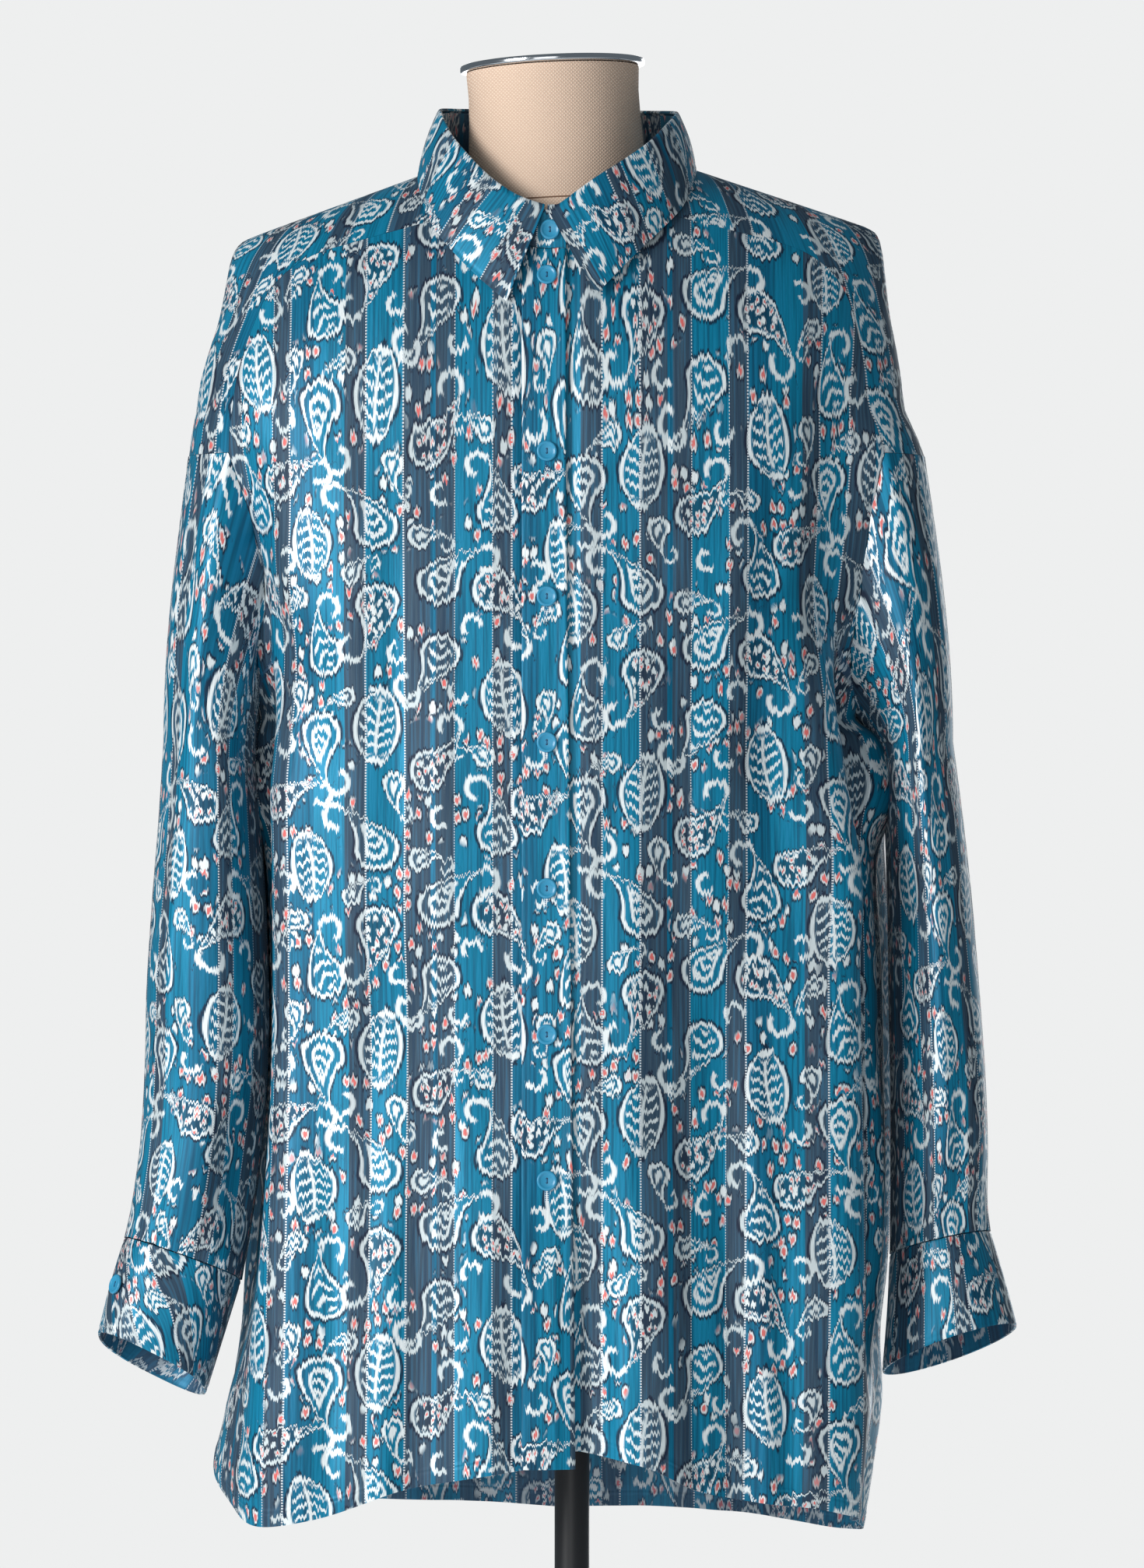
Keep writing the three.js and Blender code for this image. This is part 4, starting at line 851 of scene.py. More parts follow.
PRINT = print_group()
FACE = cloth_material("printed_satin", PRINT, 0)
REVERSE = cloth_material("printed_satin_reverse", PRINT, 0.35)
BLUE = plain_material("blue_button", linear(52, 150, 190), 0.28)
# The eyes of the buttons are dark discs, painted shade of holes through them
HOLE_SHADE = plain_material("button_hole_painted_shade", linear(18, 60, 90), 0.6)
THREAD = plain_material("blue_thread", linear(24, 98, 140), 0.7)
LINEN = linen_material()
LINEN_SEAM = plain_material("linen_seam", linear(128, 98, 78), 0.9)
STEEL = plain_material("polished_steel", linear(205, 208, 212), 0.14, 1.0)
BLACK = plain_material("black_metal", linear(24, 25, 28), 0.38)


def place(piece, materials, slot, node=None):
    """The piece gets its materials, rides on the part and stands for a node. Its slot is not used."""
    for material in materials:
        piece.data.materials.append(material)
    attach(piece, "root")
    if node:
        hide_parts(node)
    return piece


def cloth_piece(name, points, uv, thick, centre, node):
    return place(cloth_wall(name, points, uv, thick, centre), (FACE, REVERSE), "printed_satin", node)


def flat_map(across, down, phase=(0, 0)):
    across, down = np.broadcast_arrays(across, down)
    return np.stack([across + phase[0], down + phase[1]], 2)


def body_piece(node, points, uv, thick=CLOTH):
    return cloth_piece(f"{node}_cloth", points, uv, thick, body_centre(points), node)


def body_uv(along, level, phase):
    return flat_map(along, -np.where(level < 0, level * ARCH_CLOTH, level), phase)


def body_centre(points):
    centre = np.zeros_like(points)
    centre[..., 0] = BODY_X
    centre[..., 2] = points[..., 2] - 60
    return centre


def mirrored(left, right):
    """Both halves of a grid in one, the right one from its far end, with the shared middle column once."""
    return np.concatenate([left, right[::-1][1:]])


def run_along(points):
    """Length along a row of points, from its start."""
    return np.concatenate([[0], np.cumsum(np.linalg.norm(np.diff(points, axis=0), axis=1))])


def ring_centre(points):
    """The middle between each point of a closed ring and the point across from it."""
    columns = len(points)
    return (points + points[(np.arange(columns) + (columns - 1) // 2) % (columns - 1)]) / 2


def groove(distance, at, half, deep=0.35):
    """A line of stitches that pulls the cloth in, at a distance from its edge."""
    return -deep * np.exp(-((distance - at) / half) ** 2)


# Fronts and back

NECK_PART = 3 / 14
HALF_COLUMNS, SEAM_COLUMNS, NECK_COLUMNS = 19, 11, 8
NAPE_SHARE = 0.6
HEM_TURN = 9
# Rows above the underarm, below it and in the hem, and how far up the hem's rows start
UPPER_ROWS, LOWER_ROWS, HEM_ROWS, HEM_ROOM = 46, 170, 15, 12
FRONT_COLUMNS, FRONT_NECK_COLUMNS, LAP_COLUMNS, BACK_COLUMNS = 84, 22, 12, 88
SETTLED = 0.3
# How far the right front's inner edge sinks under the placket
TUCKED_IN, TUCKED_RAMP = 0.9, 3
# Where the print starts on each piece
RIGHT_MAP, LEFT_MAP, BAND_MAP, BACK_MAP, YOKE_MAP = (124, 0), (118, 38), (124, 7), (60, 70), (124, 200)
PLACKET_COLUMNS, PLACKET_ROWS, BUTTON_STEP = 26, 330, 84


def hem_level(face, side, share):
    return ARM_Z - curve(HEM_FRONT if face == FRONT else HEM_BACK, 1 if side < 0 else 2, share)


def panel_rows(drop):
    turn = UNDERARM_DROP / drop
    last = 1 - HEM_ROOM / (drop + ARCH_LENGTH)
    return np.concatenate([np.linspace(0, turn, UPPER_ROWS), np.linspace(turn, last, LOWER_ROWS)[1:],
                           np.linspace(last, 1, HEM_ROWS)[1:]])


def panel(face, side, share, starts, inner, lift=None):
    """A grid of the panel's points and its map, from its starts along the top edge down to the hem."""
    start_level, start_along = starts
    edge_drop = float(hem_level(face, side, 1))
    down = panel_rows(edge_drop)
    hem = hem_level(face, side, share)
    level = to_level(mix(to_down(start_level)[:, None], hem[:, None], down[None]))
    edge_level = down * edge_drop
    edge = armhole_share(face, side, edge_level) * whole_length(face, side, edge_level) - SEAM
    top = armhole_share(face, side, 0) * whole_length(face, side, 0) - SEAM
    inner_at = inner(level)
    t = share[:, None]
    settle = 1 - smooth(down / SETTLED)[None]
    along = mix(inner_at, edge[None], t) + (start_along[:, None] - mix(inner_at, top, t)) * settle
    along = np.minimum(along, whole_length(face, side, level) - SEAM)
    raise_by = np.zeros_like(along) if lift is None else lift(side * along, level)
    raise_by = raise_by + hem_lift(hem[:, None] - level)
    points = body_point(face, side * along, level, raise_by)
    return points, side * along, level


def hem_lift(from_hem):
    """A narrow turned hem: a double edge with a line of stitches above it."""
    double = 0.5 * (1 - smooth((from_hem - HEM_TURN) / 1.5))
    return double + groove(from_hem, HEM_TURN - 1, 0.7)


def front_starts(side, inner_along, share):
    start = math.asin(inner_along / NECK_WIDTH)
    level, along = np.empty_like(share), np.empty_like(share)
    neck = share < NECK_PART
    turn = mix(start, NECK_CORNER, share[neck] / NECK_PART)
    rise = LAP_UP * (1 - smooth((NECK_WIDTH * np.sin(turn) - inner_along) / LAP_RAMP)) if side > 0 else 0.0
    found = on_neck(side, turn, SEAM - rise)
    level[neck], along[neck] = found[1], found[2]
    t = (share[~neck] - NECK_PART) / (1 - NECK_PART)
    seam_share, seam_level = front_seam(side, t)
    seam_level = np.where(t >= 1, 0, np.minimum(0, seam_level + SEAM / ARCH_LENGTH))
    level[~neck] = seam_level
    along[~neck] = seam_share * whole_length(FRONT, side, seam_level) - 2 * SEAM
    return level, along


def front_share():
    neck = np.linspace(0, NECK_PART, FRONT_NECK_COLUMNS)[:-1]
    return np.concatenate([neck, np.linspace(NECK_PART, 1, FRONT_COLUMNS - len(neck))])


def front_right():
    inner = -BAND_INNER + SEAM - 1.5
    share = front_share()
    points, along, level = panel(
        FRONT, -1, share, front_starts(-1, inner, share), lambda lv: inner + 0 * lv,
        lambda al, lv: -TUCKED_IN * (1 - smooth((np.abs(al) - inner - 1) / TUCKED_RAMP)))
    return body_piece("front_right", points, body_uv(along, level, RIGHT_MAP))


def band_edge(level):
    return mix(BAND_TOP, BAND_HEM, np.clip(level / float(hem_level(FRONT, -1, 0)), 0, 1))


def sink(along, level):
    return -LAP_SUNK * (1 - smooth((along - band_edge(level) - 2) / LAP_RAMP))


def front_left():
    inner = BAND_TOP + 2
    share = front_share()
    points, along, level = panel(FRONT, 1, share, front_starts(1, inner, share),
                                 lambda lv: band_edge(lv) + 2, sink)
    rows = panel_rows(float(hem_level(FRONT, 1, 1)))
    laps = np.linspace(LAP_INNER, inner, LAP_COLUMNS)[:-1]
    lap_level = []
    for at in laps:
        top = on_neck(1 if at >= 0 else -1, math.asin(abs(at) / NECK_WIDTH), -LAP_UP)[1][0]
        lap_level.append(to_level(mix(float(to_down(top)), float(hem_level(FRONT, 1, 0)), rows)))
    lap_level = np.array(lap_level)
    lap_along = np.repeat(laps[:, None], len(rows), 1)
    lap_points = body_point(FRONT, lap_along, lap_level, sink(lap_along, lap_level))
    points = np.concatenate([lap_points, points])
    along, level = np.concatenate([lap_along, along]), np.concatenate([lap_level, level])
    return body_piece("front_left", points, body_uv(along, level, LEFT_MAP))


def placket():
    down = np.linspace(0, 1, PLACKET_ROWS)
    along, level = [], []
    for t in np.linspace(0, 1, PLACKET_COLUMNS):
        top_along = mix(BAND_INNER + SEAM, BAND_TOP, t)
        top = on_neck(-1 if top_along < 0 else 1, math.asin(abs(top_along) / NECK_WIDTH), SEAM)[1][0]
        lv = to_level(mix(float(to_down(top)), float(hem_level(FRONT, -1, 0)), down))
        along.append(mix(BAND_INNER + SEAM, band_edge(lv), t))
        level.append(lv)
    along, level = np.array(along), np.array(level)
    edge = band_edge(level)
    from_edge = np.minimum(edge - along, along - BAND_INNER)
    lift = BAND_PROUD + groove(from_edge, 2.2, 0.6) - 0.6 * (1 - smooth(from_edge))
    lift = lift + EDGE_LIFT * (1 - smooth((edge - along) / 7))
    ripple = 0.35 * np.sin(level / BUTTON_STEP * 2 * math.pi) * smooth((edge - along) / 6)
    points = body_point(FRONT, along, level, lift + ripple)
    return body_piece("front_placket", points, body_uv(along, level, BAND_MAP), DOUBLE)


def seam_share(k):
    return np.where(k <= SEAM_COLUMNS, mix(1, NAPE_SHARE, k / SEAM_COLUMNS),
                    NAPE_SHARE * (1 - (k - SEAM_COLUMNS) / NECK_COLUMNS))


def back_half(side):
    share = np.linspace(0, 1, BACK_COLUMNS)
    k = HALF_COLUMNS * (1 - share)
    part, level = back_seam(side, seam_share(k))
    level = np.where(k <= 0, 0, np.minimum(0, level + SEAM / ARCH_LENGTH))
    along = part * whole_length(BACK, side, level)
    return panel(BACK, side, share, (level, along), lambda lv: 0 * lv)


def back():
    left, right = back_half(-1), back_half(1)
    points, along, level = (np.concatenate([a[::-1], b[1:]]) for a, b in zip(left, right))
    return body_piece("back", points, body_uv(along, level, BACK_MAP))


# Yoke


YOKE_COLUMNS, YOKE_ROWS = 90, 70
# Share of the seam's columns that lead to the shoulder point, and share of the rows in front of the crest
TO_POINT, FORE = 0.42, 0.4
HALF_YOKE = 200


def chart(side, share, turn):
    """Points of the shoulders by share of the quarter and by turn in degrees from the front to the back."""
    points = np.empty(share.shape + (3,))
    level = np.abs(turn) / 90 - 1
    for face, here in ((FRONT, turn < 0), (BACK, turn >= 0)):
        if here.any():
            along = side * share[here] * whole_length(face, side, level[here])
            points[here] = body_point(face, along, level[here])
    return points


def yoke_half(side):
    k = np.linspace(0, HALF_COLUMNS, YOKE_COLUMNS)
    on_seam = k <= SEAM_COLUMNS
    end_share, end_level = back_seam(side, seam_share(k))
    end_turn = (1 + end_level) * 90 - SEAM
    seam_part, seam_level = front_seam(side, 1 - k / SEAM_COLUMNS * on_seam)
    past = 2 * SEAM / whole_length(FRONT, side, seam_level)
    turn = mix(NECK_CORNER, math.pi, np.clip((k - SEAM_COLUMNS) / NECK_COLUMNS, 0, 1))
    faces, neck_level, _, neck_share = on_neck(side, turn, NECK_ROOM)
    start_share = np.where(on_seam, seam_part + past, neck_share)
    start_turn = np.where(on_seam, -(1 + seam_level) * 90 + SEAM, faces * (1 + neck_level) * 90)
    t = np.minimum(1, k / SEAM_COLUMNS)
    hold = np.clip(1 - (k - SEAM_COLUMNS) / 5, 0, 1)
    half_share, half_turn = (start_share + end_share) / 2 + 0.03, (start_turn + end_turn) / 2
    inward = np.clip((t - TO_POINT) / (1 - TO_POINT), 0, 1)
    crest_share = np.where(on_seam, mix(1, 0.5, inward), mix(half_share, 0.5, hold))
    crest_turn = np.where(on_seam, 90 * (1 - np.clip(t / TO_POINT, 0, 1)), half_turn * (1 - hold) ** 2)
    front_crest = np.where(on_seam, -crest_turn, crest_turn)
    part = np.linspace(0, 1, YOKE_ROWS)
    fore = part < FORE
    share, angle = np.empty((YOKE_COLUMNS, YOKE_ROWS)), np.empty((YOKE_COLUMNS, YOKE_ROWS))
    q = (part[fore] / FORE)[None]
    share[:, fore] = mix(start_share[:, None], crest_share[:, None], q)
    angle[:, fore] = mix(start_turn[:, None], front_crest[:, None], q)
    q = (((part[~fore] - FORE) / (1 - FORE)) ** 1.25)[None]
    share[:, ~fore] = mix(crest_share[:, None], end_share[:, None], q)
    angle[:, ~fore] = mix(crest_turn[:, None], end_turn[:, None], q)
    return chart(side, share, angle), side * share * HALF_YOKE, angle / 90 * ARCH_CLOTH


def yoke():
    points, across, deep = (mirrored(a, b) for a, b in zip(yoke_half(-1), yoke_half(1)))
    return body_piece("yoke", points, flat_map(across, deep, YOKE_MAP))


# Sleeves and cuffs: outermost x and z, innermost x and z, middle y, half depth, lift in front

SLEEVE_RINGS = {
    -1: [(-241, 1096, -186, 1082, 0, 62, 0), (-244, 1050, -183.5, 1044, 0, 62, 0),
         (-248, 1000, -180.5, 993, 0, 60, 0), (-251, 950, -179, 942, -1, 58, 0),
         (-252, 905, -180, 894, -2, 55, 1), (-254.5, 862, -184, 848, -3, 51, 3),
         (-259, 827, -190, 808, -4, 47, 5), (-263.5, 803, -195.5, 779, -5, 43, 6)],
    1: [(225, 1096, 184, 1082, 0, 62, 0), (231, 1050, 185, 1044, 0, 62, 0),
        (236.5, 1000, 186.5, 993, 0, 60, 0), (240.5, 950, 187, 942, -1, 58, 0),
        (244, 900, 188, 891, -2, 55, 1), (245.5, 858, 188, 847, -3, 51, 3),
        (245, 825, 188, 813, -4, 47, 5), (246.5, 807, 188, 794, -5, 43, 6)],
}
CUFF_RINGS = {
    -1: [(-263.8, 802.3, -195.8, 778.3, -5, 43, 6), (-272, 774, -206, 746, -9, 43.5, 9),
         (-279, 745, -216, 714, -13, 42, 11)],
    1: [(246.8, 806.3, 187.9, 793.3, -5, 43, 6), (255, 778, 186, 759, -9, 43.5, 9),
        (262, 751, 183, 725, -13, 42, 11)],
}
# Folds of the sleeves: side, top, angle at the top, bottom, angle at the bottom, half width, height
SLEEVE_FOLDS = [
    (-1, 1240, 60, 960, 40, 20, -3.5), (-1, 1180, 105, 900, 95, 22, 3), (-1, 900, 125, 790, 130, 22, -6),
    (-1, 1150, -60, 820, -80, 26, -4), (1, 1230, 60, 1000, 75, 20, -3.5), (1, 1120, 110, 850, 120, 24, -4),
    (1, 1150, -70, 820, -60, 26, -4), (1, 980, 40, 800, 50, 20, 3),
    (-1, 1230, 85, 1060, 75, 9, 2.2), (-1, 1120, 60, 900, 62, 10, 2), (-1, 1010, 80, 830, 76, 10, -2.2),
    (-1, 900, 95, 785, 90, 9, 2.5), (-1, 880, 60, 785, 66, 8, -2), (-1, 1250, 40, 1100, 30, 8, 1.6),
    (1, 1220, 90, 1040, 96, 9, 2.2), (1, 1140, 70, 920, 66, 10, -2), (1, 1000, 92, 830, 86, 10, 2.4),
    (1, 900, 70, 800, 74, 8, -2.2), (1, 890, 110, 800, 104, 9, 2), (1, 1250, 45, 1110, 36, 8, 1.6),
]
ARM_TOP_TURN = math.radians(75)
# Squareness of the sleeves' sections
SLEEVE_POWER = {-1: 2.6, 1: 2.0}
AROUND, SLEEVE_TOP_ROWS, SLEEVE_ROWS, CUFF_ROWS = 110, 50, 130, 44
SLEEVE_GAP = 0.12
# Puckers at the armhole and gathers at the cuff: height, number of waves around, length along the sleeve
PUCKER, GATHER = (0.8, 26, 16), (0.7, 19, 22)
# Half of the sleeve's map around, the cuff's map around and its length, and where the print starts on them
SLEEVE_HALF, CUFF_AROUND, CUFF_LENGTH = 150, 290, 58
SLEEVE_MAP = {-1: (180, 130), 1: (50, 50)}
CUFF_MAP = {-1: (70, 20), 1: (12, 20)}
# How far each cuff's print is turned from the straight of the cloth
CUFF_GRAIN = {-1: math.radians(38), 1: 0.0}


def signed_power(value, power):
    return np.sign(value) * np.abs(value) ** (2 / power)


def ring_points(ring, turn, power):
    out_x, out_z, in_x, in_z, mid_y, deep, lift = (np.asarray(v, float) for v in ring)
    cos, sin = signed_power(np.cos(turn), power), signed_power(np.sin(turn), power)
    return np.stack([
        (out_x + in_x) / 2 + (out_x - in_x) / 2 * cos,
        mid_y - deep * sin,
        (out_z + in_z) / 2 + (out_z - in_z) / 2 * cos + lift * sin,
    ], -1)


def armhole_point(side, turn):
    points = np.empty((len(turn), 3))
    for index, angle in enumerate(turn):
        face = FRONT if math.sin(angle) >= 0 else BACK
        half = angle if angle <= math.pi else 2 * math.pi - angle
        if half <= ARM_TOP_TURN:
            corner = armhole_share(face, side, 0)[0]
            along = side * mix(1, corner, half / ARM_TOP_TURN) * whole_length(face, side, 0)[0]
            points[index] = body_point(face, along, 0.0)
        else:
            t = (half - ARM_TOP_TURN) / (math.pi - ARM_TOP_TURN)
            level = UNDERARM_DROP * math.sin(t * math.pi / 2)
            along = side * armhole_share(face, side, level)[0] * whole_length(face, side, level)[0]
            points[index] = body_point(face, along, level)
    return points


def ring_table(rings):
    return np.array([(k, *ring) for k, ring in enumerate(rings)], float)


def side_name(kind, side):
    return f"{kind}_{'left' if side > 0 else 'right'}"


def sleeve(side):
    turn = np.linspace(math.pi, -math.pi, AROUND) % (2 * math.pi)
    turn[0] = turn[-1] = math.pi
    seam = armhole_point(side, turn)
    rings = ring_table(SLEEVE_RINGS[side])
    first = ring_points(SLEEVE_RINGS[side][0], turn, SLEEVE_POWER[side])
    skip = SLEEVE_GAP / np.linalg.norm(seam - first, axis=1)
    t = mix(skip[:, None], 1, np.linspace(0, 1, SLEEVE_TOP_ROWS)[None])[..., None]
    ease = np.sin(t * math.pi / 2)
    top = np.concatenate([mix(seam[:, None, :2], first[:, None, :2], ease),
                          mix(seam[:, None, 2:], first[:, None, 2:], t)], 2)
    at = np.linspace(0, len(rings) - 1, SLEEVE_ROWS)[1:]
    values = [curve(rings, c, at)[None] for c in range(1, 8)]
    low = ring_points(values, turn[:, None], SLEEVE_POWER[side])
    points = np.concatenate([top, low], 1)
    middle_x = (rings[0, 1] + rings[0, 3]) / 2
    out = np.stack([points[..., 0] - middle_x, points[..., 1], np.zeros(points.shape[:2])], 2)
    out /= np.maximum(np.linalg.norm(out, axis=2, keepdims=True), 1e-9)
    angle = np.degrees(np.where(turn > math.pi, turn - 2 * math.pi, turn))[:, None]
    z = points[..., 2]
    height = np.zeros_like(z)
    for on_side, high, start, bottom, end, half, tall in SLEEVE_FOLDS:
        if on_side != side:
            continue
        part = np.clip((high - z) / (high - bottom), 0, 1)
        off = (angle - mix(start, end, part)) / half
        height += tall * np.sin(math.pi * part) * np.exp(-off * off)
    down = run_along(points.mean(0))
    (tall, waves, reach), (low, folds, length) = PUCKER, GATHER
    pucker = tall * np.sin(angle / 360 * 2 * math.pi * waves + 2 * np.sin(angle / 23)) * np.exp(-down / reach)
    gather = low * np.sin(angle / 360 * 2 * math.pi * folds + 1.3) * np.exp(-(down[-1] - down) / length)
    points = points + out * (height + pucker + gather)[..., None]
    uv = flat_map(np.linspace(-1, 1, AROUND)[:, None] * SLEEVE_HALF, -down[None], SLEEVE_MAP[side])
    name = side_name("sleeve", side)
    return cloth_piece(f"{name}_cloth", points, uv, CLOTH, ring_centre(points), name)


def cuff(side):
    down = np.linspace(0, 1, CUFF_ROWS)[None]
    from_edge = np.minimum(down, 1 - down) * CUFF_LENGTH
    lift = 0.3 + groove(from_edge, 2.5, 0.7, 0.3) - 0.5 * (1 - smooth(from_edge))
    table = ring_table(CUFF_RINGS[side])
    at = np.linspace(0, len(table) - 1, CUFF_ROWS)
    out_x, out_z, in_x, in_z, mid_y, deep, raised = (curve(table, c, at)[None] for c in range(1, 8))
    sign = np.sign(out_x)
    ring = (out_x + sign * lift, out_z, in_x - sign * lift, in_z, mid_y, deep + lift, raised)
    points = ring_points(ring, np.linspace(math.pi, -math.pi, AROUND)[:, None], SLEEVE_POWER[side])
    across, along = np.linspace(0, CUFF_AROUND, AROUND)[:, None], -down * CUFF_LENGTH
    cos, sin = math.cos(CUFF_GRAIN[side]), math.sin(CUFF_GRAIN[side])
    uv = flat_map(across * cos - along * sin, across * sin + along * cos, CUFF_MAP[side])
    name = side_name("cuff", side)
    return cloth_piece(f"{name}_cloth", points, uv, DOUBLE, ring_centre(points), name)


# Collar

FOLD_LINE = np.array([
    # angle from the front, left, right
    (0, 1402, 1404), (18, 1409, 1420), (33, 1420, 1431), (50, 1436, 1443), (66, 1450, 1454.5),
    (80, 1461, 1461), (90, 1465.5, 1464), (135, 1470, 1469), (180, 1472, 1472),
])
LEAF = {
    # angle of the fold line that the edge hangs from, distance across, depth, height
    -1: np.array([(6.5, 30, 93, 1350), (18, 49, 84, 1367), (36, 68, 71, 1388), (54, 77, 58, 1403.5),
                  (72, 81.5, 41, 1417), (90, 82.5, 20, 1427), (120, 75, -30, 1428), (150, 46, -60, 1425),
                  (180, 0, -70, 1424)]),
    1: np.array([(-5, 22, 94, 1354), (18, 41, 86, 1374), (36, 58, 74, 1391), (54, 71, 60, 1405),
                 (72, 78.5, 42, 1416), (90, 81, 20, 1426), (120, 75, -30, 1428), (150, 46, -60, 1425),
                 (180, 0, -70, 1424)]),
}
STAND_INSET = 2.5
COLLAR_CLEAR = 3.2
# The stand runs round from its start to its end, in degrees, and sinks under itself after a place
STAND_START, STAND_END, STAND_LAPS, LAP_SINK, LAP_TURN = 3.6, -372, -330, 2.4, 24
STAND_COLUMNS, STAND_ROWS, STAND_TALL, STAND_MAP = 190, 16, 32, (15, 60)
LEAF_COLUMNS, LEAF_ROWS, ROLL_ROWS, LEAF_THICK, LEAF_MAP = 88, 44, 8, 0.9, (52, 30)


def fold_point(side, angle, inset):
    turn = np.radians(angle)
    return np.stack([
        BODY_X + side * (NECK_WIDTH + 1 - inset) * np.sin(turn),
        NECK_Y - (NECK_DEPTH + 3 - inset) * np.cos(turn),
        curve(FOLD_LINE, 1 if side < 0 else 2, angle) + 0 * inset,
    ], -1)


def arch_surface(side, faces, level, along):
    points = np.empty((len(level), 3))
    for face in (FRONT, BACK):
        here = faces == face
        if here.any():
            points[here] = body_point(face, side * along[here], level[here])
    return points


def stand():
    angles = np.linspace(STAND_START, STAND_END, STAND_COLUMNS)
    wrapped = ((angles + 540) % 360) - 180
    bottom, top = np.empty((len(angles), 3)), np.empty((len(angles), 3))
    for index, (angle, around) in enumerate(zip(angles, wrapped)):
        side = -1 if around < 0 else 1
        sunk = LAP_SINK * float(smooth((STAND_LAPS - angle) / LAP_TURN))
        faces, level, along, _ = on_neck(side, math.radians(abs(around)), -sunk)
        bottom[index] = arch_surface(side, faces, level, along)[0]
        top[index] = fold_point(side, abs(around), STAND_INSET + sunk)
    bottom[:, 2] += 0.4
    t = np.linspace(0, 1, STAND_ROWS)[None, :, None]
    points = mix(bottom[:, None], top[:, None], t)
    uv = flat_map(run_along(top)[:, None], t[..., 0] * STAND_TALL, STAND_MAP)
    centre = np.broadcast_to(np.array([BODY_X, NECK_Y, RIDGE_Z], float), points.shape)
    return cloth_piece("collar_stand_cloth", points, uv, DOUBLE, centre, "collar_stand")


def collar():
    halves = []
    for side in (-1, 1):
        table = LEAF[side]
        angle = np.linspace(table[0, 0], 180, LEAF_COLUMNS)
        across, deep, tall = (curve(table, column, angle) for column in (1, 2, 3))
        edge = np.stack([BODY_X + side * across, -deep, tall], 1)
        faces, level, along, _ = on_arch(side, edge[:, 0] - BODY_X, edge[:, 1])
        surface = arch_surface(side, faces, level, along)[:, 2]
        edge[:, 2] = np.maximum(edge[:, 2], surface + COLLAR_CLEAR)
        start = fold_point(side, angle, STAND_INSET) + (0, 0, 1.5)
        crest = fold_point(side, angle, STAND_INSET - 1.2) + (0, 0, 2.9)
        over = fold_point(side, angle, STAND_INSET - 3.2) + (0, 0, 0.4)
        out = over - np.array([BODY_X, NECK_Y, 0])
        out[:, 2] = 0
        out /= np.linalg.norm(out, axis=1, keepdims=True)
        t = np.linspace(0, 1, LEAF_ROWS)[None, :, None]
        hang = mix(over[:, None], edge[:, None], t) + out[:, None] * 1.4 * np.sin(math.pi * t)
        width = np.linalg.norm(edge - over, axis=1)[:, None]
        from_edge = np.minimum((1 - t[..., 0]) * width, (angle - angle[0])[:, None])
        hang = hang + out[:, None] * groove(from_edge, 2.4, 0.7)[..., None]
        q = np.linspace(0, 1, ROLL_ROWS)[None, :-1, None]
        roll = (start[:, None] * (1 - q) ** 2 + 2 * crest[:, None] * q * (1 - q) + over[:, None] * q * q
                + np.array([0, 0, 0.9]) * np.sin(math.pi * q))
        halves.append((np.concatenate([roll, hang], 1), width))
    points, width = (mirrored(left, right) for left, right in zip(*halves))
    share = np.concatenate([np.linspace(-0.08, 0, ROLL_ROWS)[:-1], np.linspace(0, 1, LEAF_ROWS)])[None]
    uv = flat_map(run_along(points[:, 10])[:, None], -share * width, LEAF_MAP)
    centre = points * (0, 0, 1) + np.array([BODY_X, NECK_Y, -20.0])
    return cloth_piece("collar_cloth", points, uv, LEAF_THICK, centre, "collar")


# Buttons


BUTTON_GAP = 0.25
HOLE_HALF, HOLE_END = 1.3, 12
# Half widths and heights of the disc, as shares of the button's radius and thickness
DISC = [(0, 0), (0.78, 0), (0.95, 0.3), (1, 0.55), (0.98, 0.85), (0.9, 1), (0.78, 0.98), (0.68, 0.78),
        (0.6, 0.7), (0, 0.66)]
EYE_OFF, EYE_RADIUS, EYE_LOW, EYE_HIGH, THREAD_HIGH = 1.15, 0.62, 0.6, 0.7, 0.74


def button(node, origin, outward):
    h = BUTTON_THICK
    disc = revolve(f"{node}_disc", [(BUTTON_RADIUS * r, h * z) for r, z in DISC], 40)
    place(move(disc, origin, outward), (BLUE,), "blue_button", node)
    # The eyes are not cut through: each is a small dark disc in the dished top, painted shade of a hole
    eye = [(0, h * EYE_LOW), (EYE_RADIUS, h * EYE_LOW), (EYE_RADIUS, h * EYE_HIGH), (0, h * EYE_HIGH)]
    for number, shift in enumerate((-EYE_OFF, EYE_OFF)):
        hole = revolve(f"{node}_hole_{number + 1}", eye, 14)
        hole.data.transform(translation((0, shift, 0)))
        place(move(hole, origin, outward), (HOLE_SHADE,), "blue_button")
    thread = revolve(f"{node}_thread", [(0, -1.2), (0.32, -1.1), (0.32, 1.1), (0, 1.2)], 8)
    thread.data.transform(Matrix.Rotation(math.radians(90), 4, "X"))
    thread.data.transform(translation((0, 0, h * THREAD_HIGH)))
    place(move(thread, origin, outward), (THREAD,), "blue_button")


def facing(vector, way):
    """The vector at length 1, turned round if it points away from the given way."""
    vector = vector / np.linalg.norm(vector)
    return -vector if np.dot(vector, way) < 0 else vector


def front_button(node, along, level, gap):
    here, right, left = (body_point(FRONT, along + step, level, BAND_PROUD) for step in (0, 3, -3))
    below, above = (float(to_level(to_down(np.array(level)) + step)) for step in (3, -3))
    down = body_point(FRONT, along, below, BAND_PROUD) - body_point(FRONT, along, above, BAND_PROUD)
    outward = facing(np.cross(right - left, down), (0, -1, 0))
    button(node, here + outward * gap, outward)


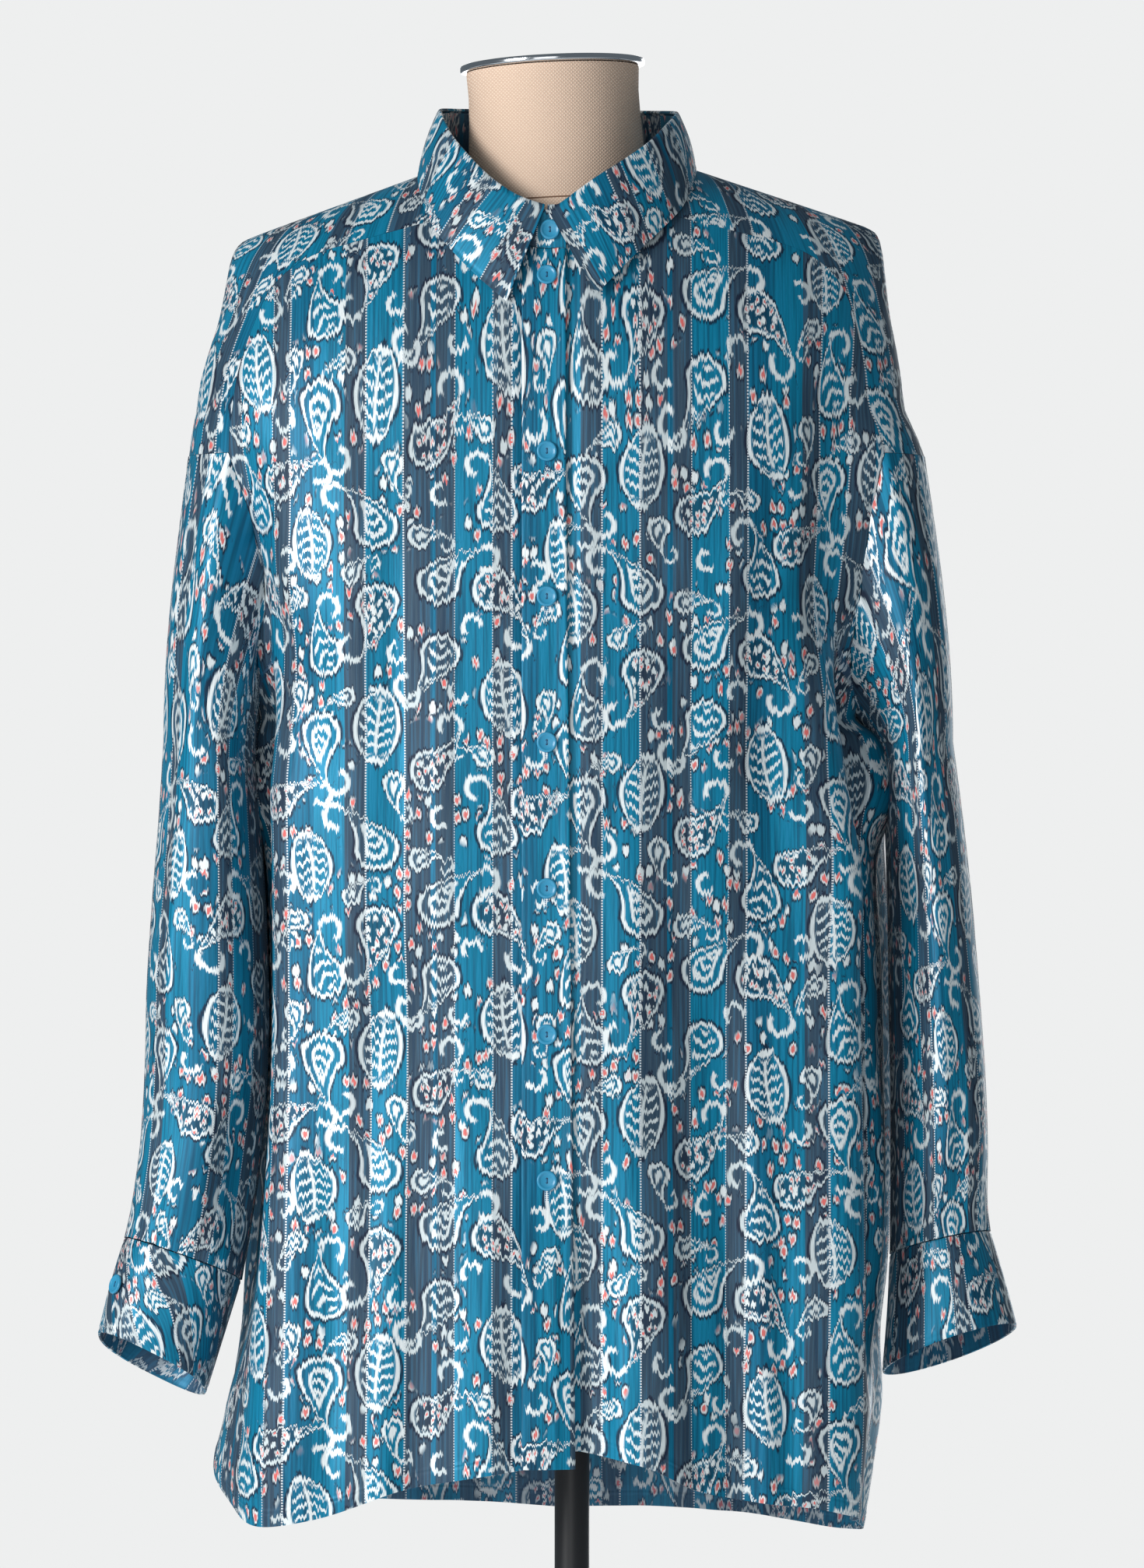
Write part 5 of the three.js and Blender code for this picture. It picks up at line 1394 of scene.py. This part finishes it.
def buttonhole(name, along, level):
    """A row of stitches along the placket, seen below its button."""
    across = np.linspace(-HOLE_HALF, HOLE_HALF, 9)[:, None]
    down = np.linspace(BUTTON_RADIUS - 1.5, HOLE_END, 41)[None]
    ridge = 0.3 + 0.12 * np.sin(down / 0.55 * math.pi) + groove(across, 0, 0.35)
    ridge = ridge - 0.3 * smooth((np.abs(across) - HOLE_HALF + 0.3) / 0.3)
    points = body_point(FRONT, along + across + 0 * down, level + down + 0 * across, BAND_PROUD + ridge)
    piece = cloth_wall(name, points, np.zeros(points.shape[:2] + (2,)), 0.3, body_centre(points))
    place(piece, (THREAD,), "blue_button")


def stand_button():
    faces, level, along, _ = on_neck(-1, math.radians(4))
    bottom = arch_surface(-1, faces, level, along)[0]
    top = fold_point(-1, 4, STAND_INSET)
    outward = facing(np.array([0, -(top[2] - bottom[2]), bottom[1] - top[1]]), (0, -1, 0))
    button("button_1", mix(bottom, top, 0.5) + outward * 0.5, outward)


def cuff_button(side, angle, node):
    rings, turn, power = CUFF_RINGS[side], math.radians(angle), SLEEVE_POWER[side]
    here = ring_points(rings[1], turn, power)
    aside = ring_points(rings[1], turn + 0.05, power) - ring_points(rings[1], turn - 0.05, power)
    down = ring_points(rings[2], turn, power) - ring_points(rings[0], turn, power)
    centre = np.array([(rings[1][0] + rings[1][2]) / 2, rings[1][4], here[2]])
    outward = facing(np.cross(aside, down), here - centre)
    button(node, here + outward * 0.6, outward)


# Dress form

FORM = np.array([
    # height, half width, front, back, middle, squareness
    (1264, 166, 84, 78, -8, 2.3), (1200, 156, 94, 82, -7, 2.3), (1130, 136, 90, 82, -5, 2.2),
    (1050, 121, 84, 80, -3, 2.1), (970, 130, 88, 88, -1, 2.1), (900, 140, 92, 94, 0, 2.1),
    (820, 143, 94, 94, 0, 2.1), (745, 138, 90, 90, 0, 2.1),
])
FORM_SHOULDER, FORM_GAP = 176, 2.2
NECK_X, NECK_MID_Y, NECK_RADIUS, NECK_DEEP, NECK_TOP = -11.5, -6, 51.5, 52, 1492
NECK_TILT = math.radians(-2.7)
FORM_SIDES, FORM_ARCH_ROWS, FORM_ROWS = 96, 26, 42
NECK_PROFILE = [(0, -107), (60, -107), (56, -80), (53, -62), (51.7, -46), (50.6, -28), (50.2, -14), (51, 0),
                (0, 0)]
SEAM_PROFILE = [(0, -79.4), (56.2, -79.4), (56.2, -78.6), (0, -78.6)]
CAP_RADIUS = NECK_RADIUS + 3
# How far the rim of the cap lies within its radius, and its height
CAP_RIM = [(1.2, 0.6), (0.2, 1.0), (0, 1.8), (0, 3.2), (0.3, 4.0), (1.2, 4.4)]
BASE_PROFILE = [(0, 0), (BASE_RADIUS, 0), (BASE_RADIUS, 5), (BASE_RADIUS - 0.8, 7), (BASE_RADIUS - 3, 8),
                (24, 9), (19, 10.5), (17, 13), (17, 32), (16.5, 33.4), (15, 34), (0, 34)]
POLE_FOOT, POLE_HEAD = 34.2, 744.8


def form_torso():
    turn = np.linspace(0, 2 * math.pi, FORM_SIDES + 1)[:-1] - math.pi / 2
    rows = []
    for row in np.linspace(0, 1, FORM_ARCH_ROWS):
        angle = row * math.pi / 2
        drop = (1 - math.cos(angle)) ** 0.8
        front = np.where(np.cos(turn) > 0, FORM[0, 2], FORM[0, 3])
        across = mix(FORM_SHOULDER, FORM[0, 1], drop) * signed_power(np.sin(turn), FORM[0, 5])
        side = np.where(np.sin(turn) < 0, -1, 1)
        height = ridge_height(side, np.abs(across)) - FORM_GAP
        y = -front * math.sin(angle) * signed_power(np.cos(turn), FORM[0, 5])
        rows.append(np.stack([FORM[0, 4] + across, y, mix(height, ARM_Z, drop)], 1))
    for z in np.linspace(ARM_Z, FORM[-1, 0], FORM_ROWS)[1:]:
        power = curve(FORM, 5, z)
        front = np.where(np.cos(turn) > 0, curve(FORM, 2, z), curve(FORM, 3, z))
        rows.append(np.stack([curve(FORM, 4, z) + curve(FORM, 1, z) * signed_power(np.sin(turn), power),
                              -front * signed_power(np.cos(turn), power), np.full(len(turn), z)], 1))
    rows.append(np.tile([FORM[-1, 4], 0, FORM[-1, 0]], (len(turn), 1)))
    verts = np.concatenate(rows)
    n = len(turn)
    faces = [(r * n + k, (r + 1) * n + k, (r + 1) * n + (k + 1) % n, r * n + (k + 1) % n)
             for r in range(len(rows) - 1) for k in range(n)]
    place(make_mesh("form_torso_cover", verts, faces), (LINEN,), "linen", "form_torso")


def on_form_neck(name, profile, sides, scale, material, slot, node=None):
    piece = move(revolve(name, profile, sides, scale), (NECK_X, NECK_MID_Y, NECK_TOP), tilt=NECK_TILT)
    place(piece, (material,), slot, node)


def form_neck():
    flat = NECK_DEEP / NECK_RADIUS
    on_form_neck("form_neck_cover", NECK_PROFILE, 72, flat, LINEN, "linen")
    on_form_neck("form_neck_seam", SEAM_PROFILE, 72, flat, LINEN_SEAM, "linen")
    profile = [(0, 0.6), *((CAP_RADIUS - within, z) for within, z in CAP_RIM), (0, 5)]
    on_form_neck("form_neck_plate", profile, 96, (NECK_DEEP + 3) / CAP_RADIUS, STEEL, "polished_steel",
                 "form_neck_cap")


def form_foot():
    place(revolve("form_base_plate", BASE_PROFILE, 128), (BLACK,), "black_metal", "form_base")
    pole = [(0, POLE_FOOT), (POLE_RADIUS, POLE_FOOT), (POLE_RADIUS, POLE_HEAD), (0, POLE_HEAD)]
    place(revolve("form_pole_tube", pole, 48), (BLACK,), "black_metal", "form_pole")


# The pieces

BUTTONS_AT = -6.5
front_r, front_l, band = front_right(), front_left(), placket()
whole_back, shoulders = back(), yoke()
sleeves = {side: sleeve(side) for side in (-1, 1)}
cuffs = {side: cuff(side) for side in (-1, 1)}
collar_stand, collar_leaf = stand(), collar()
stand_button()
front_button("button_2", BUTTONS_AT, -0.35, -0.3)
for number in range(6):
    level = 1 + BUTTON_STEP * number
    front_button(f"button_{number + 3}", BUTTONS_AT, level, BUTTON_GAP)
    buttonhole(f"buttonhole_{number + 3}", BUTTONS_AT, level)
cuff_button(-1, 40, "cuff_button_right")
cuff_button(1, -70, "cuff_button_left")
form_torso()
form_neck()
form_foot()

# Floor, lights and camera

FLOOR_TINT, BACKDROP_TINT, AMBIENT_TINT = linear(236, 237, 237), linear(238, 239, 239), linear(222, 238, 250)
FLOOR_GLOW, AMBIENT, FLOOR_RADIUS = 0.3, 0.2, 3.0
LIT_POINT = Vector((0, 0, 1.0))
LIGHTS = [
    # name, place, side of its square, power
    ("key", (-3.2, -3.0, 1.9), 1.8, 148),
    ("fill", (-0.6, -4.0, 1.3), 2.0, 22),
    ("back", (0.8, 4.0, 1.0), 2.5, 60),
]
SENSOR_WIDTH, LENS, CAMERA_AT = 24, 108.8, (0, -4.2, 1.071)


def area_light(name, location, size, power):
    data = bpy.data.lights.new(name, "AREA")
    data.shape, data.size, data.energy = "SQUARE", size, power
    light = bpy.data.objects.new(name, data)
    light.location = location
    light.rotation_euler = (LIT_POINT - Vector(location)).to_track_quat("-Z", "Y").to_euler()
    bpy.context.collection.objects.link(light)


def studio_world():
    """An even pale backdrop for the camera and a weaker, cooler light for the object."""
    world = bpy.data.worlds.new("studio")
    world.use_nodes = True
    tree = world.node_tree
    backdrop, ambient = tree.nodes["Background"], new_node(tree, "Background")
    for node, tint, strength in ((backdrop, BACKDROP_TINT, 1.0), (ambient, AMBIENT_TINT, AMBIENT)):
        node.inputs[0].default_value, node.inputs[1].default_value = tint, strength
    chosen = new_node(tree, "MixShader")
    tree.links.new(new_node(tree, "LightPath").outputs["Is Camera Ray"], chosen.inputs[0])
    tree.links.new(ambient.outputs[0], chosen.inputs[1])
    tree.links.new(backdrop.outputs[0], chosen.inputs[2])
    tree.links.new(chosen.outputs[0], tree.nodes["World Output"].inputs[0])
    return world


bpy.ops.mesh.primitive_circle_add(vertices=96, radius=FLOOR_RADIUS, fill_type="NGON", location=(0, 0, -0.001))
floor = bpy.context.object
floor.name = "studio_floor"
floor.data.materials.append(plain_material("studio_floor", FLOOR_TINT, 0.9, Emission_Color=FLOOR_TINT,
                                           Emission_Strength=FLOOR_GLOW))

bpy.context.scene.world = studio_world()
bpy.context.scene.view_settings.view_transform = "Standard"
for row in LIGHTS:
    area_light(*row)

camera_data = bpy.data.cameras.new("camera")
camera_data.sensor_width, camera_data.lens = SENSOR_WIDTH, LENS
camera = bpy.data.objects.new("camera", camera_data)
camera.location = CAMERA_AT
camera.rotation_euler = (math.radians(90), 0, 0)
bpy.context.collection.objects.link(camera)
bpy.context.scene.camera = camera
